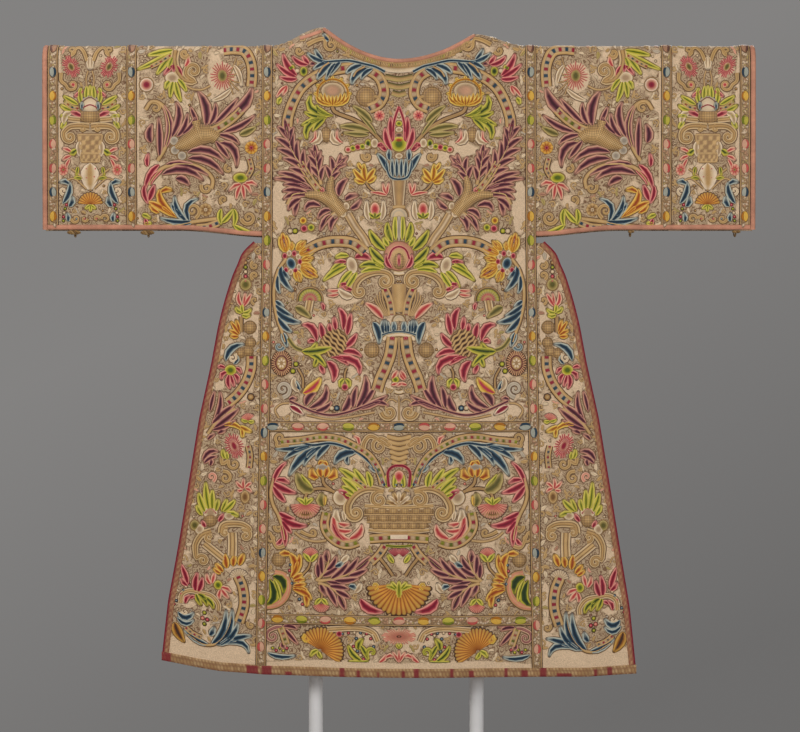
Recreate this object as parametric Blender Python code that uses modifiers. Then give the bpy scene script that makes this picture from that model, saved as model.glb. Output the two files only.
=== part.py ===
"""A dalmatic hung on a two-post stand. Metres, +Z up, the front faces -Y, +X is the viewer's right.
The origin is on the floor, under the middle of the garment. Left is -X, right is +X."""

import math

import bmesh
import bpy
from mathutils import Vector

# Driving sizes of the garment
HEM_Z = 0.400  # the lowest point of the hem
SLEEVE_TOP_Z = 1.532  # inside of the fold along the sleeve tops
SLEEVE_END_X = 0.640
FOLD_RADIUS = 0.028  # the cloth rounds over the arms of the stand
WALL = 0.002
SEAM_GAP = 0.0003
SEAM_TOP_X = 0.2365  # the long seams lean out a little on their way down
SEAM_HEM_X = 0.2470
CUFF_SEAM_X = 0.480
SLEEVE_PLACES = (0.303, 0.360, 0.418)
CUFF_PLACE = 0.550
COMMON_Z = 1.440  # below this level every row of a panel is level

# Neck
NECK_HALF = 0.137
NECK_PLACES = (0.040, 0.080, 0.112)
SHOULDER_PLACES = (0.159, 0.182, 0.204)
NECK_LOW_Z = 1.508
NECK_POWER = 1.9
SHOULDER_RISE = {"left": 0.034, "right": 0.022}
RISE_END_X = 0.230

# Trims
GALLOON = 0.0195  # width of every galloon
GALLOON_THICK = 0.0016
BINDING = 0.009
BINDING_THICK = 0.0012
BRAID = 0.012
BRAID_THICK = 0.0014
HEM_BRAID = 0.016

# Levels of the seams and galloons above the floor
UNDERARM_Z = 1.190
GORE_TOP_Z = 1.178
CUFF_LIFT = 0.012  # the underside is higher at the cuff
CUFF_LIFT_PACE = 2.5
WAIST_TOP_Z = 0.858
LOW_TOP_Z = 0.511

# Depth of the hollow form
HEM_BULGE = 0.057  # how far the hem at mid-front stands out past the fold radius
BULGE_START_Z = 1.470
BULGE_SHARE = 0.85  # the hem is reached before the swelling levels out
EDGE_INSET = 0.013  # how far the open side edges fall back
INSET_PACE = 2.2  # the edges have fallen back by this part of the way down
BELL_LEAST = 0.300

# Stand
STAND_X = -0.005  # the garment hangs a little off the stand's middle
POST_SPACING = 0.290
POST_RADIUS = 0.0127
BASE_SIZE = (0.520, 0.380, 0.012)
BASE_CORNER = 0.030
ARM_END_X = 0.616
ARM_END = 0.006  # length of the drawn-in ends of an arm
ARM_END_SHARE = 0.62
RAIL_Z = 1.400
RAIL_RADIUS = 0.010
FOLD_STEPS = 3  # flats in a quarter of the fold, which the arms share

SIDES = {"front": -1, "back": 1}
HANDS = {"left": -1, "right": 1}

# Half width of the garment below the arms: level above the floor, half width
GORE_EDGE = (
    (1.178, 0.262),
    (1.160, 0.281),
    (1.115, 0.301),
    (1.070, 0.315),
    (1.030, 0.325),
    (0.960, 0.338),
    (0.860, 0.360),
    (0.725, 0.382),
    (0.600, 0.402),
    (0.520, 0.415),
    (0.400, 0.427),
)

# How far the hem hangs above HEM_Z: across, front, back
HEM_RISE = (
    (-0.427, 0.028, 0.028),
    (-0.367, 0.017, 0.016),
    (-0.320, 0.010, 0.008),
    (-0.240, 0.005, 0.003),
    (0.000, 0.004, 0.002),
    (0.240, 0.001, 0.003),
    (0.340, 0.000, 0.005),
    (0.427, 0.004, 0.010),
)
HEM_RISE_TOP_Z = 0.700

# Soft folds of the hanging cloth: side, across at the hem, half width, depth, level where it starts
FOLD_SPREAD = 0.25  # a fold moves outwards by this share of its place on its way down
FOLDS = (
    ("front", -0.345, 0.050, 0.007, 1.000),
    ("front", -0.180, 0.060, -0.005, 0.900),
    ("front", 0.150, 0.070, -0.006, 0.850),
    ("front", 0.335, 0.055, 0.008, 1.050),
    ("back", -0.330, 0.060, 0.008, 1.050),
    ("back", -0.120, 0.080, -0.007, 1.000),
    ("back", 0.090, 0.060, 0.006, 0.850),
    ("back", 0.340, 0.050, 0.007, 0.950),
)

# Padded embroidery that stands up from the cloth: across, up from the hem, half width, half height, height.
# Each is on both halves of the panel.
PADDED_BODY = (
    (0.000, 0.752, 0.075, 0.060, 0.0016),
    (0.140, 0.860, 0.080, 0.095, 0.0014),
    (0.140, 1.050, 0.070, 0.050, 0.0012),
    (0.000, 0.980, 0.045, 0.060, 0.0014),
    (0.000, 0.650, 0.060, 0.060, 0.0016),
    (0.113, 0.594, 0.065, 0.070, 0.0015),
    (0.000, 0.281, 0.100, 0.060, 0.0020),
    (0.120, 0.365, 0.080, 0.045, 0.0012),
    (0.000, 0.165, 0.065, 0.050, 0.0016),
    (0.115, 0.172, 0.060, 0.055, 0.0014),
)
PADDED_GORE = (
    (0.292, 0.530, 0.034, 0.050, 0.0013),
    (0.315, 0.240, 0.060, 0.060, 0.0016),
    (0.330, 0.080, 0.060, 0.050, 0.0013),
)
PADDED_SLEEVE = (
    (0.365, 0.975, 0.085, 0.075, 0.0016),
    (0.320, 1.080, 0.050, 0.045, 0.0012),
    (0.360, 0.840, 0.070, 0.035, 0.0012),
)
PADDED_CUFF = (
    (0.552, 0.960, 0.055, 0.065, 0.0016),
    (0.552, 0.855, 0.045, 0.040, 0.0012),
)

PAD_SLOPE = 1.5  # padding reaches its height this much before its middle

# Ties under the sleeves: hand, place, across, half length of the knot, half height
TIES = (
    ("left", "outer", -0.584, 0.0130, 0.0045),
    ("left", "inner", -0.452, 0.0130, 0.0048),
    ("right", "inner", 0.417, 0.0060, 0.0030),
    ("right", "outer", 0.606, 0.0080, 0.0032),
)
TIE_CORD_RADIUS = 0.0016
TIE_SAG = 0.008

# Name: colour, roughness, metallic
FINISHES = {
    "embroidered_silk": ((0.46, 0.34, 0.20), 0.62, 0.10),
    "galloon_gold": ((0.42, 0.29, 0.13), 0.48, 0.35),
    "salmon_silk": ((0.68, 0.24, 0.17), 0.55, 0.00),
    "crimson_braid": ((0.32, 0.08, 0.08), 0.60, 0.10),
    "gold_knot": ((0.30, 0.20, 0.09), 0.55, 0.25),
    "painted_steel": ((0.72, 0.71, 0.70), 0.40, 0.00),
    "padded_arm": ((0.70, 0.69, 0.67), 0.85, 0.00),
}


def table_value(table, key, column=1):
    """Reads a column of a table, straight between its rows."""
    rows = sorted(table)
    if key <= rows[0][0]:
        return rows[0][column]
    for low, high in zip(rows, rows[1:]):
        if key <= high[0]:
            share = (key - low[0]) / (high[0] - low[0])
            return low[column] + share * (high[column] - low[column])
    return rows[-1][column]


def smooth(share):
    share = min(max(share, 0.0), 1.0)
    return share * share * (3 - 2 * share)


# The hollow form of the hung cloth


def seam_x(z):
    share = (UNDERARM_Z - z) / (UNDERARM_Z - HEM_Z)
    return SEAM_TOP_X + (SEAM_HEM_X - SEAM_TOP_X) * max(share, 0.0)


def fold_z(x):
    """Level of the inside of the top fold, which rises to the neck."""
    lean = min(max(x / NECK_HALF, -1.0), 1.0)
    rise = (SHOULDER_RISE["left"] * (1 - lean) + SHOULDER_RISE["right"] * (1 + lean)) / 2
    return SLEEVE_TOP_Z + rise * smooth((RISE_END_X - abs(x)) / (RISE_END_X - NECK_HALF))


def neck_z(x):
    peak = fold_z(math.copysign(NECK_HALF, x))
    return NECK_LOW_Z + (peak - NECK_LOW_Z) * min(abs(x) / NECK_HALF, 1.0) ** NECK_POWER


def fold_of_cloth(side, x, z):
    """The soft folds, which deepen towards the hem."""
    found = 0.0
    for name, across, half, height, start in FOLDS:
        if name != side or z > start:
            continue
        down = (start - z) / (start - HEM_Z)
        away = (x - across * (1 - FOLD_SPREAD * (1 - down))) / half
        found += height * smooth(down) * math.exp(-away * away)
    return found


def hang_depth(side, x, z):
    """Half depth of the hollow below the fold."""
    fall = min(max((BULGE_START_Z - z) / (BULGE_START_Z - HEM_Z), 0.0), 1.0)
    reach = max(table_value(GORE_EDGE, z), BELL_LEAST)
    bell = math.cos(min(abs(x) / reach, 1.0) * math.pi / 2) ** 2
    bulge = HEM_BULGE * smooth(fall * BULGE_SHARE) / smooth(BULGE_SHARE)
    inset = EDGE_INSET * smooth(fall * INSET_PACE)
    return FOLD_RADIUS + bulge * bell - inset * (1 - bell) + fold_of_cloth(side, x, z)


def depth(side, x, z):
    """Half depth of the hollow at any level: a quarter circle over the arm, then the hanging cloth."""
    drop = fold_z(x) - z
    if drop < FOLD_RADIUS:
        drop = max(drop, 0.0)
        half_gap = SEAM_GAP / 2
        return max(math.sqrt(drop * (2 * FOLD_RADIUS - drop)), half_gap)
    return hang_depth(side, x, z)


def outward(side, x, z):
    """Unit vector out of the cloth."""
    sign = SIDES[side]
    step = 0.002
    drop = fold_z(x) - z
    if drop < FOLD_RADIUS:
        slope = (fold_z(x + step) - fold_z(x - step)) / (2 * step)
        up = FOLD_RADIUS - max(drop, 0.0)
        return Vector((-slope * up, sign * depth(side, x, z), up)).normalized()
    across = (hang_depth(side, x + step, z) - hang_depth(side, x - step, z)) / (2 * step)
    down = (hang_depth(side, x, z + step) - hang_depth(side, x, z - step)) / (2 * step)
    return Vector((-across, sign, -down)).normalized()


def cloth_point(side, x, z):
    return Vector((x, SIDES[side] * depth(side, x, z), z)), outward(side, x, z)


# Rows and columns of the panels


def steps(start, end, count):
    return [start + (end - start) * n / count for n in range(1, count + 1)]


def turned(lines):
    """Columns as rows, or rows as columns."""
    return [list(line) for line in zip(*lines)]


SLEEVE_LEVELS = [COMMON_Z] + steps(COMMON_Z, UNDERARM_Z + BINDING, 5) + [UNDERARM_Z]
SKIRT_LEVELS = (
    [GORE_TOP_Z]
    + steps(GORE_TOP_Z, WAIST_TOP_Z, 6)
    + [WAIST_TOP_Z - GALLOON]
    + steps(WAIST_TOP_Z - GALLOON, LOW_TOP_Z, 6)
    + [LOW_TOP_Z - GALLOON]
    + steps(LOW_TOP_Z - GALLOON, HEM_Z + HEM_BRAID, 2)
    + [HEM_Z]
)


def level(side, x, nominal):
    """The height of a level row at x: the hem's rise fades out upwards."""
    column = 1 if side == "front" else 2
    fade = smooth((HEM_RISE_TOP_Z - nominal) / (HEM_RISE_TOP_Z - HEM_Z))
    return nominal + table_value(HEM_RISE, x, column) * fade


def underside_z(x):
    """The sleeve's lower edge, a little higher at the cuff."""
    share = (abs(x) - SEAM_TOP_X) / (SLEEVE_END_X - SEAM_TOP_X)
    return UNDERARM_Z + CUFF_LIFT * smooth(share * CUFF_LIFT_PACE)


def top_rows(x, in_neck):
    """The levels over the fold at x, or those below the neckline."""
    if not in_neck:
        turn = math.pi / 2 / FOLD_STEPS
        return [fold_z(x) - FOLD_RADIUS * (1 - math.cos(turn * n)) for n in range(FOLD_STEPS + 1)]
    top = neck_z(x)
    return [top, top - BINDING] + steps(top - BINDING, COMMON_Z, 3)[:2]


def body_column(side, place):
    """One column of the body panel, or of the galloon over its seam, named by its place at the shoulder."""
    galloon_edge = SEAM_TOP_X - GALLOON / 2
    points = []
    for nominal in top_rows(place, abs(place) < NECK_HALF) + SLEEVE_LEVELS + SKIRT_LEVELS:
        if abs(place) < galloon_edge:
            x = place * (seam_x(nominal) - GALLOON / 2) / galloon_edge
        else:
            x = math.copysign(seam_x(nominal) - SEAM_TOP_X + abs(place), place)
        points.append(cloth_point(side, x, level(side, x, nominal)))
    return points


def body_grid(side):
    """The body panel, from the shoulder and the neckline to the hem."""
    right = [*NECK_PLACES, NECK_HALF, *SHOULDER_PLACES]
    right += [SEAM_TOP_X - GALLOON / 2, SEAM_TOP_X - SEAM_GAP / 2]
    places = [-x for x in reversed(right)] + [0.0] + right
    return turned([body_column(side, place) for place in places])


def sleeve_grid(side, hand, places):
    """A stretch of sleeve, from the top fold to the open underside."""
    sign = HANDS[hand]
    rows = []
    for place in places:
        x = sign * place
        levels = top_rows(x, False)
        share = (COMMON_Z - underside_z(x)) / (COMMON_Z - UNDERARM_Z)
        levels += [COMMON_Z - (COMMON_Z - nominal) * share for nominal in SLEEVE_LEVELS]
        rows.append([cloth_point(side, x, z) for z in levels])
    return turned(rows)


def gore_grid(side, hand):
    """A side gore, from its rounded top below the arm to the hem."""
    sign = HANDS[hand]
    rows = []
    for nominal in SKIRT_LEVELS:
        seam = seam_x(nominal)
        edge = table_value(GORE_EDGE, nominal)
        galloon = seam + GALLOON / 2
        braid = edge - BRAID
        places = [seam + SEAM_GAP / 2, galloon] + steps(galloon, braid, 2) + [edge]
        row = [(sign * x, level(side, sign * x, nominal)) for x in places]
        rows.append([cloth_point(side, x, z) for x, z in row])
    return rows


def between(first, second, share):
    """A grid point part of the way from one to the next."""
    return first[0].lerp(second[0], share), first[1].lerp(second[1], share).normalized()


def drawn_in(grid, along_rows, amount=SEAM_GAP / 2):
    """The grid with its first and last columns, or rows, moved in by the seam gap."""
    lines = [list(row) for row in grid] if along_rows else turned(grid)
    for line in lines:
        for end, step in ((0, 1), (-1, -2)):
            length = (line[end][0] - line[step][0]).length
            line[end] = between(line[end], line[step], amount / length)
    return lines if along_rows else turned(lines)


# The arms share the columns of the cloth, so that their flats lie under its flats
ARM_PLACES = (NECK_HALF, *SHOULDER_PLACES, SEAM_TOP_X - GALLOON / 2, SEAM_TOP_X)
ARM_PLACES += (SEAM_TOP_X + GALLOON / 2, *SLEEVE_PLACES, CUFF_SEAM_X, CUFF_PLACE, ARM_END_X)


# Making the solids


def linked(name, mesh, finish):
    mesh.materials.append(bpy.data.materials[finish])
    obj = bpy.data.objects.new(name, mesh)
    bpy.data.collections["dalmatic"].objects.link(obj)
    return obj


def skin(bm, rings, closed_ring):
    """Quads between neighbouring rings of points, which bmesh keeps in one turning sense."""
    for ring, after in zip(rings, rings[1:]):
        count = len(ring)
        for n in range(count if closed_ring else count - 1):
            m = (n + 1) % count
            bm.faces.new((ring[n], after[n], after[m], ring[m]))


def finish_mesh(name, bm, finish):
    bmesh.ops.recalc_face_normals(bm, faces=bm.faces)
    mesh = bpy.data.meshes.new(name)
    bm.to_mesh(mesh)
    bm.free()
    mesh.shade_smooth()
    mesh.set_sharp_from_angle(angle=math.radians(40))
    return linked(name, mesh, finish)


def wall(name, grid, low, high, finish, padded=()):
    """A closed wall between two heights above a grid of points, its outer points raised over padding."""
    bm = bmesh.new()
    inner = [[bm.verts.new(p + n * low) for p, n in row] for row in grid]
    outer = [[bm.verts.new(p + n * (high + rise(p, padded))) for p, n in row] for row in grid]
    skin(bm, outer, False)
    skin(bm, inner, False)
    borders = (
        (outer[0], inner[0]),
        (outer[-1], inner[-1]),
        ([row[0] for row in outer], [row[0] for row in inner]),
        ([row[-1] for row in outer], [row[-1] for row in inner]),
    )
    for first, second in borders:
        skin(bm, (first, second), False)
    return finish_mesh(name, bm, finish)


def rise(point, padded):
    """Height of the padded embroidery at a point of the cloth."""
    found = 0.0
    for across, up, half_width, half_height, height in padded:
        away = math.hypot(
            (abs(point.x) - across) / half_width, (point.z - HEM_Z - up) / half_height
        )
        found = max(found, height * smooth(PAD_SLOPE * (1 - away)))
    return found


def trim(name, grid, thick, finish):
    """A band laid on the cloth, made from the cloth's own points, moved out."""
    low = WALL + SEAM_GAP
    return wall(name, grid, low, low + thick, finish)


def make_body(side, body):
    wall(side + "_panel", body, 0.0, WALL, "embroidered_silk", PADDED_BODY)
    inside = [row[1:-1] for row in body]
    first = FOLD_STEPS + 1 + len(SLEEVE_LEVELS)
    for label, top in (("waist", WAIST_TOP_Z), ("low", LOW_TOP_Z)):
        row = first + min(range(len(SKIRT_LEVELS)), key=lambda n: abs(SKIRT_LEVELS[n] - top))
        band = drawn_in(inside[row : row + 2], True, SEAM_GAP)
        trim(f"galloon_{label}_{side}", band, GALLOON_THICK, "galloon_gold")
    beside = len(SHOULDER_PLACES) + 2
    neck = [row[beside:-beside] for row in body[:2]]
    trim("neck_binding_" + side, neck, BINDING_THICK, "salmon_silk")


def make_long_galloon(side, hand):
    """The galloon over the long seam, from the shoulder to the hem braid."""
    half = GALLOON / 2 - SEAM_GAP
    places = [HANDS[hand] * (SEAM_TOP_X + step) for step in (-half, 0.0, half)]
    band = turned([body_column(side, place)[:-1] for place in places])
    band[-1] = [between(last, above, 0.01) for last, above in zip(band[-1], band[-2])]
    trim(f"galloon_{side}_{hand}", band, GALLOON_THICK, "galloon_gold")


def make_sleeve(side, hand):
    """Sleeve and cuff panels with their galloons and bindings."""
    half_gap = SEAM_GAP / 2
    half = GALLOON / 2
    outer_galloon = SLEEVE_END_X - BINDING - SEAM_GAP
    sleeve_x = (SEAM_TOP_X + half_gap, SEAM_TOP_X + half, *SLEEVE_PLACES)
    sleeve_x += (CUFF_SEAM_X - half, CUFF_SEAM_X - half_gap)
    cuff_x = (CUFF_SEAM_X + half_gap, CUFF_SEAM_X + half, CUFF_PLACE, outer_galloon - GALLOON)
    cuff_x += (outer_galloon, outer_galloon + SEAM_GAP, SLEEVE_END_X)
    sleeve = sleeve_grid(side, hand, sleeve_x)
    cuff = sleeve_grid(side, hand, cuff_x)
    where = f"{side}_{hand}"
    wall("sleeve_" + where, sleeve, 0.0, WALL, "embroidered_silk", PADDED_SLEEVE)
    wall("cuff_" + where, cuff, 0.0, WALL, "embroidered_silk", PADDED_CUFF)
    above = slice(0, -1)
    inner = sleeve_grid(side, hand, (CUFF_SEAM_X - half, CUFF_SEAM_X + half))[above]
    trim("galloon_inner_" + where, drawn_in(inner, False), GALLOON_THICK, "galloon_gold")
    outer = [row[3:5] for row in cuff[above]]
    trim("galloon_outer_" + where, drawn_in(outer, False), GALLOON_THICK, "galloon_gold")
    trim("cuff_binding_" + where, [row[5:7] for row in cuff], BINDING_THICK, "salmon_silk")
    joined = [sleeve_row[1:-1] + cuff_row[1:5] for sleeve_row, cuff_row in zip(sleeve, cuff)]
    under = drawn_in(joined[-2:], False)
    trim("under_binding_" + where, under, BINDING_THICK, "salmon_silk")


def make_gore(side, hand):
    grid = gore_grid(side, hand)
    where = f"{side}_{hand}"
    wall("gore_" + where, grid, 0.0, WALL, "embroidered_silk", PADDED_GORE)
    edge = [row[3:5] for row in grid[:-1]]
    trim("side_braid_" + where, edge, BRAID_THICK, "crimson_braid")
    return grid


def make_hem_braid(side, body, gores):
    """One braid along the whole hem, over the panel and both gores."""
    rows = []
    for body_row, left, right in zip(body[-2:], gores["left"][-2:], gores["right"][-2:]):
        rows.append(list(reversed(left[1:])) + body_row[1:-1] + right[1:])
    trim("hem_braid_" + side, drawn_in(rows, False), BRAID_THICK, "crimson_braid")


def make_tie(hand, place, across, half_length, half_height):
    """A knot at the front edge of the sleeve's underside, and the cord that runs from it to the back edge."""
    edge_z = underside_z(across)
    front = depth("front", across, edge_z)
    back = depth("back", across, edge_z)
    knot_z = edge_z - SEAM_GAP * 2 - half_height
    knot_y = -(front + WALL / 2)
    bpy.ops.mesh.primitive_uv_sphere_add(segments=10, ring_count=6, location=(0, 0, 0))
    knot = bpy.context.object
    for point in knot.data.vertices:
        x, y, z = point.co
        point.co = (z * half_length, y * half_height, -x * half_height)
    knot.location = (across, knot_y, knot_z)
    into_part(knot, f"tie_knot_{hand}_{place}", "gold_knot")
    start_y = knot_y + half_height + SEAM_GAP
    end_y = back + WALL / 2
    start_z = knot_z
    end_z = edge_z - TIE_CORD_RADIUS - SEAM_GAP * 2
    curve = bpy.data.curves.new(f"tie_cord_{hand}_{place}", "CURVE")
    curve.dimensions = "3D"
    curve.bevel_depth = TIE_CORD_RADIUS
    curve.bevel_resolution = 1
    curve.use_fill_caps = True
    spline = curve.splines.new("POLY")
    count = 7
    spline.points.add(count - 1)
    for n, point in enumerate(spline.points):
        share = n / (count - 1)
        sag = TIE_SAG * 4 * share * (1 - share)
        y = start_y + (end_y - start_y) * share
        z = start_z + (end_z - start_z) * share - sag
        point.co = (across, y, z, 1)
    cord = bpy.data.objects.new(curve.name, curve)
    curve.materials.append(bpy.data.materials["gold_knot"])
    bpy.data.collections["dalmatic"].objects.link(cord)


# The stand


def arm_ring(bm, x, radius):
    """A ring of the arm, whose flats face the flats of the fold above it."""
    sides = 4 * FOLD_STEPS
    middle_z = fold_z(x) - FOLD_RADIUS
    turn = 2 * math.pi / sides
    angles = [turn * n for n in range(sides)]
    ring = [(x, radius * math.sin(a), middle_z + radius * math.cos(a)) for a in angles]
    return [bm.verts.new(point) for point in ring]


def make_arm(hand):
    """A padded arm in the sleeve, which follows the shoulder."""
    sign = HANDS[hand]
    radius = FOLD_RADIUS - SEAM_GAP / math.cos(math.pi / 4 / FOLD_STEPS)
    bm = bmesh.new()
    rings = [arm_ring(bm, sign * (ARM_PLACES[0] - ARM_END), radius * ARM_END_SHARE)]
    rings += [arm_ring(bm, sign * x, radius) for x in ARM_PLACES]
    rings.append(arm_ring(bm, sign * (ARM_PLACES[-1] + ARM_END), radius * ARM_END_SHARE))
    skin(bm, rings, True)
    bm.faces.new(rings[0])
    bm.faces.new(rings[-1])
    finish_mesh("stand_arm_" + hand, bm, "padded_arm")


def make_post(hand):
    x = STAND_X + HANDS[hand] * POST_SPACING / 2
    arm_line = [(HANDS[hand] * place, fold_z(HANDS[hand] * place)) for place in ARM_PLACES]
    edges = (x - POST_RADIUS, x + POST_RADIUS)
    under_arm = min(table_value(arm_line, edge) for edge in edges) - 2 * FOLD_RADIUS
    bottom = BASE_SIZE[2] + SEAM_GAP
    bpy.ops.mesh.primitive_cylinder_add(
        vertices=24,
        radius=POST_RADIUS,
        depth=under_arm - bottom,
        location=(x, 0, (under_arm + bottom) / 2),
    )
    into_part(bpy.context.object, "stand_post_" + hand, "painted_steel")


def make_rail():
    """The rail that ties the posts together behind the front panel."""
    length = POST_SPACING - 2 * (POST_RADIUS + SEAM_GAP)
    bpy.ops.mesh.primitive_cylinder_add(
        vertices=16,
        radius=RAIL_RADIUS,
        depth=length,
        location=(STAND_X, 0, RAIL_Z),
        rotation=(0, math.pi / 2, 0),
    )
    into_part(bpy.context.object, "stand_rail", "painted_steel")


def make_base():
    bpy.ops.mesh.primitive_cube_add(size=1, location=(0, 0, BASE_SIZE[2] / 2))
    base = bpy.context.object
    base.scale = BASE_SIZE
    bpy.ops.object.transform_apply(location=False, rotation=False, scale=True)
    upright = base.data.attributes.new("bevel_weight_edge", "FLOAT", "EDGE")
    for edge in base.data.edges:
        low, high = (base.data.vertices[n].co for n in edge.vertices)
        upright.data[edge.index].value = 1.0 if abs(low.z - high.z) > BASE_SIZE[2] / 2 else 0.0
    bevel = base.modifiers.new("round_corners", "BEVEL")
    bevel.limit_method = "WEIGHT"
    bevel.width = BASE_CORNER
    bevel.segments = 6
    into_part(base, "stand_base", "painted_steel")


def into_part(obj, name, finish):
    """Names a primitive, gives it its finish and moves it to the part's collection."""
    obj.name = name
    obj.data.materials.append(bpy.data.materials[finish])
    for collection in obj.users_collection:
        collection.objects.unlink(obj)
    bpy.data.collections["dalmatic"].objects.link(obj)
    obj.data.shade_smooth()
    obj.data.set_sharp_from_angle(angle=math.radians(40))


def make_finishes():
    for name, (colour, roughness, metallic) in FINISHES.items():
        material = bpy.data.materials.new(name)
        material.use_nodes = True
        shader = material.node_tree.nodes["Principled BSDF"]
        shader.inputs["Base Color"].default_value = (*colour, 1.0)
        shader.inputs["Roughness"].default_value = roughness
        shader.inputs["Metallic"].default_value = metallic


def main():
    for obj in list(bpy.data.objects):
        bpy.data.objects.remove(obj)
    bpy.context.scene.collection.children.link(bpy.data.collections.new("dalmatic"))
    make_finishes()
    for side in SIDES:
        body = body_grid(side)
        make_body(side, body)
        gores = {hand: make_gore(side, hand) for hand in HANDS}
        make_hem_braid(side, body, gores)
        for hand in HANDS:
            make_long_galloon(side, hand)
            make_sleeve(side, hand)
    for tie in TIES:
        make_tie(*tie)
    for hand in HANDS:
        make_arm(hand)
        make_post(hand)
    make_rail()
    make_base()


main()
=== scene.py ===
"""The looks of the dalmatic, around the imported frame: silk shells over its panels, raised silk and gold
embroidery, galloons, bindings, braids and ties. Metres, +Z up, the front faces -Y."""

import math

import bpy
import numpy as np
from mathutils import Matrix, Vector
from mathutils.kdtree import KDTree


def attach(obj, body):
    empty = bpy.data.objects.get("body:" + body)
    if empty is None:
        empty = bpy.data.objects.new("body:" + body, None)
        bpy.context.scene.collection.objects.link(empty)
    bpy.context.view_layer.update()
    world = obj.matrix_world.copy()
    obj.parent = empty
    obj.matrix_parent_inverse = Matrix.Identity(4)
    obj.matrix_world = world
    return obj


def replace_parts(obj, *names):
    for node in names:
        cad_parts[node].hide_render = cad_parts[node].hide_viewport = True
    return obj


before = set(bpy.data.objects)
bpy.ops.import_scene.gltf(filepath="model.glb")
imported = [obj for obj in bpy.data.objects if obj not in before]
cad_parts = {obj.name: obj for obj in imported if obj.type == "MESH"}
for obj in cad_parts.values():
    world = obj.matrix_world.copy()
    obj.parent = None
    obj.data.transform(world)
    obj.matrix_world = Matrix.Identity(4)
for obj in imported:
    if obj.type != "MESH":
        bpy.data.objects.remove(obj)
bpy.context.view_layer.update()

# ---------------------------------------------------------------------------
# Sizes shared with the solids
# ---------------------------------------------------------------------------

HEM_Z = 0.400
SLEEVE_TOP_Z = 1.532
SLEEVE_END_X = 0.640
FOLD_RADIUS = 0.028
WALL = 0.002
SEAM_GAP = 0.0003
SEAM_TOP_X = 0.2365
SEAM_HEM_X = 0.2470
CUFF_SEAM_X = 0.480
COMMON_Z = 1.440
NECK_HALF = 0.137
NECK_LOW_Z = 1.508
NECK_POWER = 1.9
SHOULDER_RISE = (0.034, 0.022)  # left, right
RISE_END_X = 0.230
GALLOON = 0.0195
BINDING = 0.009
BRAID = 0.012
HEM_BRAID = 0.016
UNDERARM_Z = 1.190
CUFF_LIFT = 0.012  # the underside is higher at the cuff
CUFF_LIFT_PACE = 2.5
GORE_TOP_Z = 1.178
WAIST_TOP_Z = 0.858
LOW_TOP_Z = 0.511
HEM_BULGE = 0.057
BULGE_START_Z = 1.470
BULGE_SHARE = 0.85
EDGE_INSET = 0.013
INSET_PACE = 2.2
BELL_LEAST = 0.300
FOLD_SPREAD = 0.25  # a fold moves outwards by this share of its place on its way down
SLOPE_REACH = 0.002  # how far apart the cloth's slope is measured

SIDES = {"front": -1.0, "back": 1.0}
HANDS = {"left": -1.0, "right": 1.0}

GORE_EDGE = (  # level, half width
    (1.178, 0.262),
    (1.160, 0.281),
    (1.115, 0.301),
    (1.070, 0.315),
    (1.030, 0.325),
    (0.960, 0.338),
    (0.860, 0.360),
    (0.725, 0.382),
    (0.600, 0.402),
    (0.520, 0.415),
    (0.400, 0.427),
)
HEM_RISE = (  # across, front, back
    (-0.427, 0.028, 0.028),
    (-0.367, 0.017, 0.016),
    (-0.320, 0.010, 0.008),
    (-0.240, 0.005, 0.003),
    (0.000, 0.004, 0.002),
    (0.240, 0.001, 0.003),
    (0.340, 0.000, 0.005),
    (0.427, 0.004, 0.010),
)
HEM_RISE_TOP_Z = 0.700
FOLDS = (  # side, across at the hem, half width, depth, level where it starts
    ("front", -0.345, 0.050, 0.007, 1.000),
    ("front", -0.180, 0.060, -0.005, 0.900),
    ("front", 0.150, 0.070, -0.006, 0.850),
    ("front", 0.335, 0.055, 0.008, 1.050),
    ("back", -0.330, 0.060, 0.008, 1.050),
    ("back", -0.120, 0.080, -0.007, 1.000),
    ("back", 0.090, 0.060, 0.006, 0.850),
    ("back", 0.340, 0.050, 0.007, 0.950),
)

# The design is drawn on a grid: steps across from the middle of the garment, and steps down from GRID_TOP_Z
STEP = 0.00179
MM = 0.001
SKIN = WALL + 0.0002  # the embroidery starts just above the cloth's face


# ---------------------------------------------------------------------------
# The hollow form, for whole arrays of places
# ---------------------------------------------------------------------------


def table_column(table, keys, column=1):
    rows = sorted(table)
    return np.interp(keys, [row[0] for row in rows], [row[column] for row in rows])


def smooth(share):
    share = np.clip(share, 0.0, 1.0)
    return share * share * (3 - 2 * share)


def seam_x(z):
    share = np.maximum((UNDERARM_Z - z) / (UNDERARM_Z - HEM_Z), 0.0)
    return SEAM_TOP_X + (SEAM_HEM_X - SEAM_TOP_X) * share


def fold_z(x):
    lean = np.clip(x / NECK_HALF, -1.0, 1.0)
    rise = (SHOULDER_RISE[0] * (1 - lean) + SHOULDER_RISE[1] * (1 + lean)) / 2
    return SLEEVE_TOP_Z + rise * smooth((RISE_END_X - np.abs(x)) / (RISE_END_X - NECK_HALF))


def neck_z(x):
    peak = fold_z(np.copysign(NECK_HALF, x))
    share = np.minimum(np.abs(x) / NECK_HALF, 1.0)
    return NECK_LOW_Z + (peak - NECK_LOW_Z) * share**NECK_POWER


def underside_z(x):
    share = (np.abs(x) - SEAM_TOP_X) / (SLEEVE_END_X - SEAM_TOP_X)
    return UNDERARM_Z + CUFF_LIFT * smooth(share * CUFF_LIFT_PACE)


def soft_folds(side, x, z):
    found = np.zeros_like(x)
    for name, across, half, height, start in FOLDS:
        if name == side:
            down = np.clip((start - z) / (start - HEM_Z), 0.0, 1.0)
            away = (x - across * (1 - FOLD_SPREAD + FOLD_SPREAD * down)) / half
            found += height * smooth(down) * np.exp(-away * away)
    return found


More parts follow.
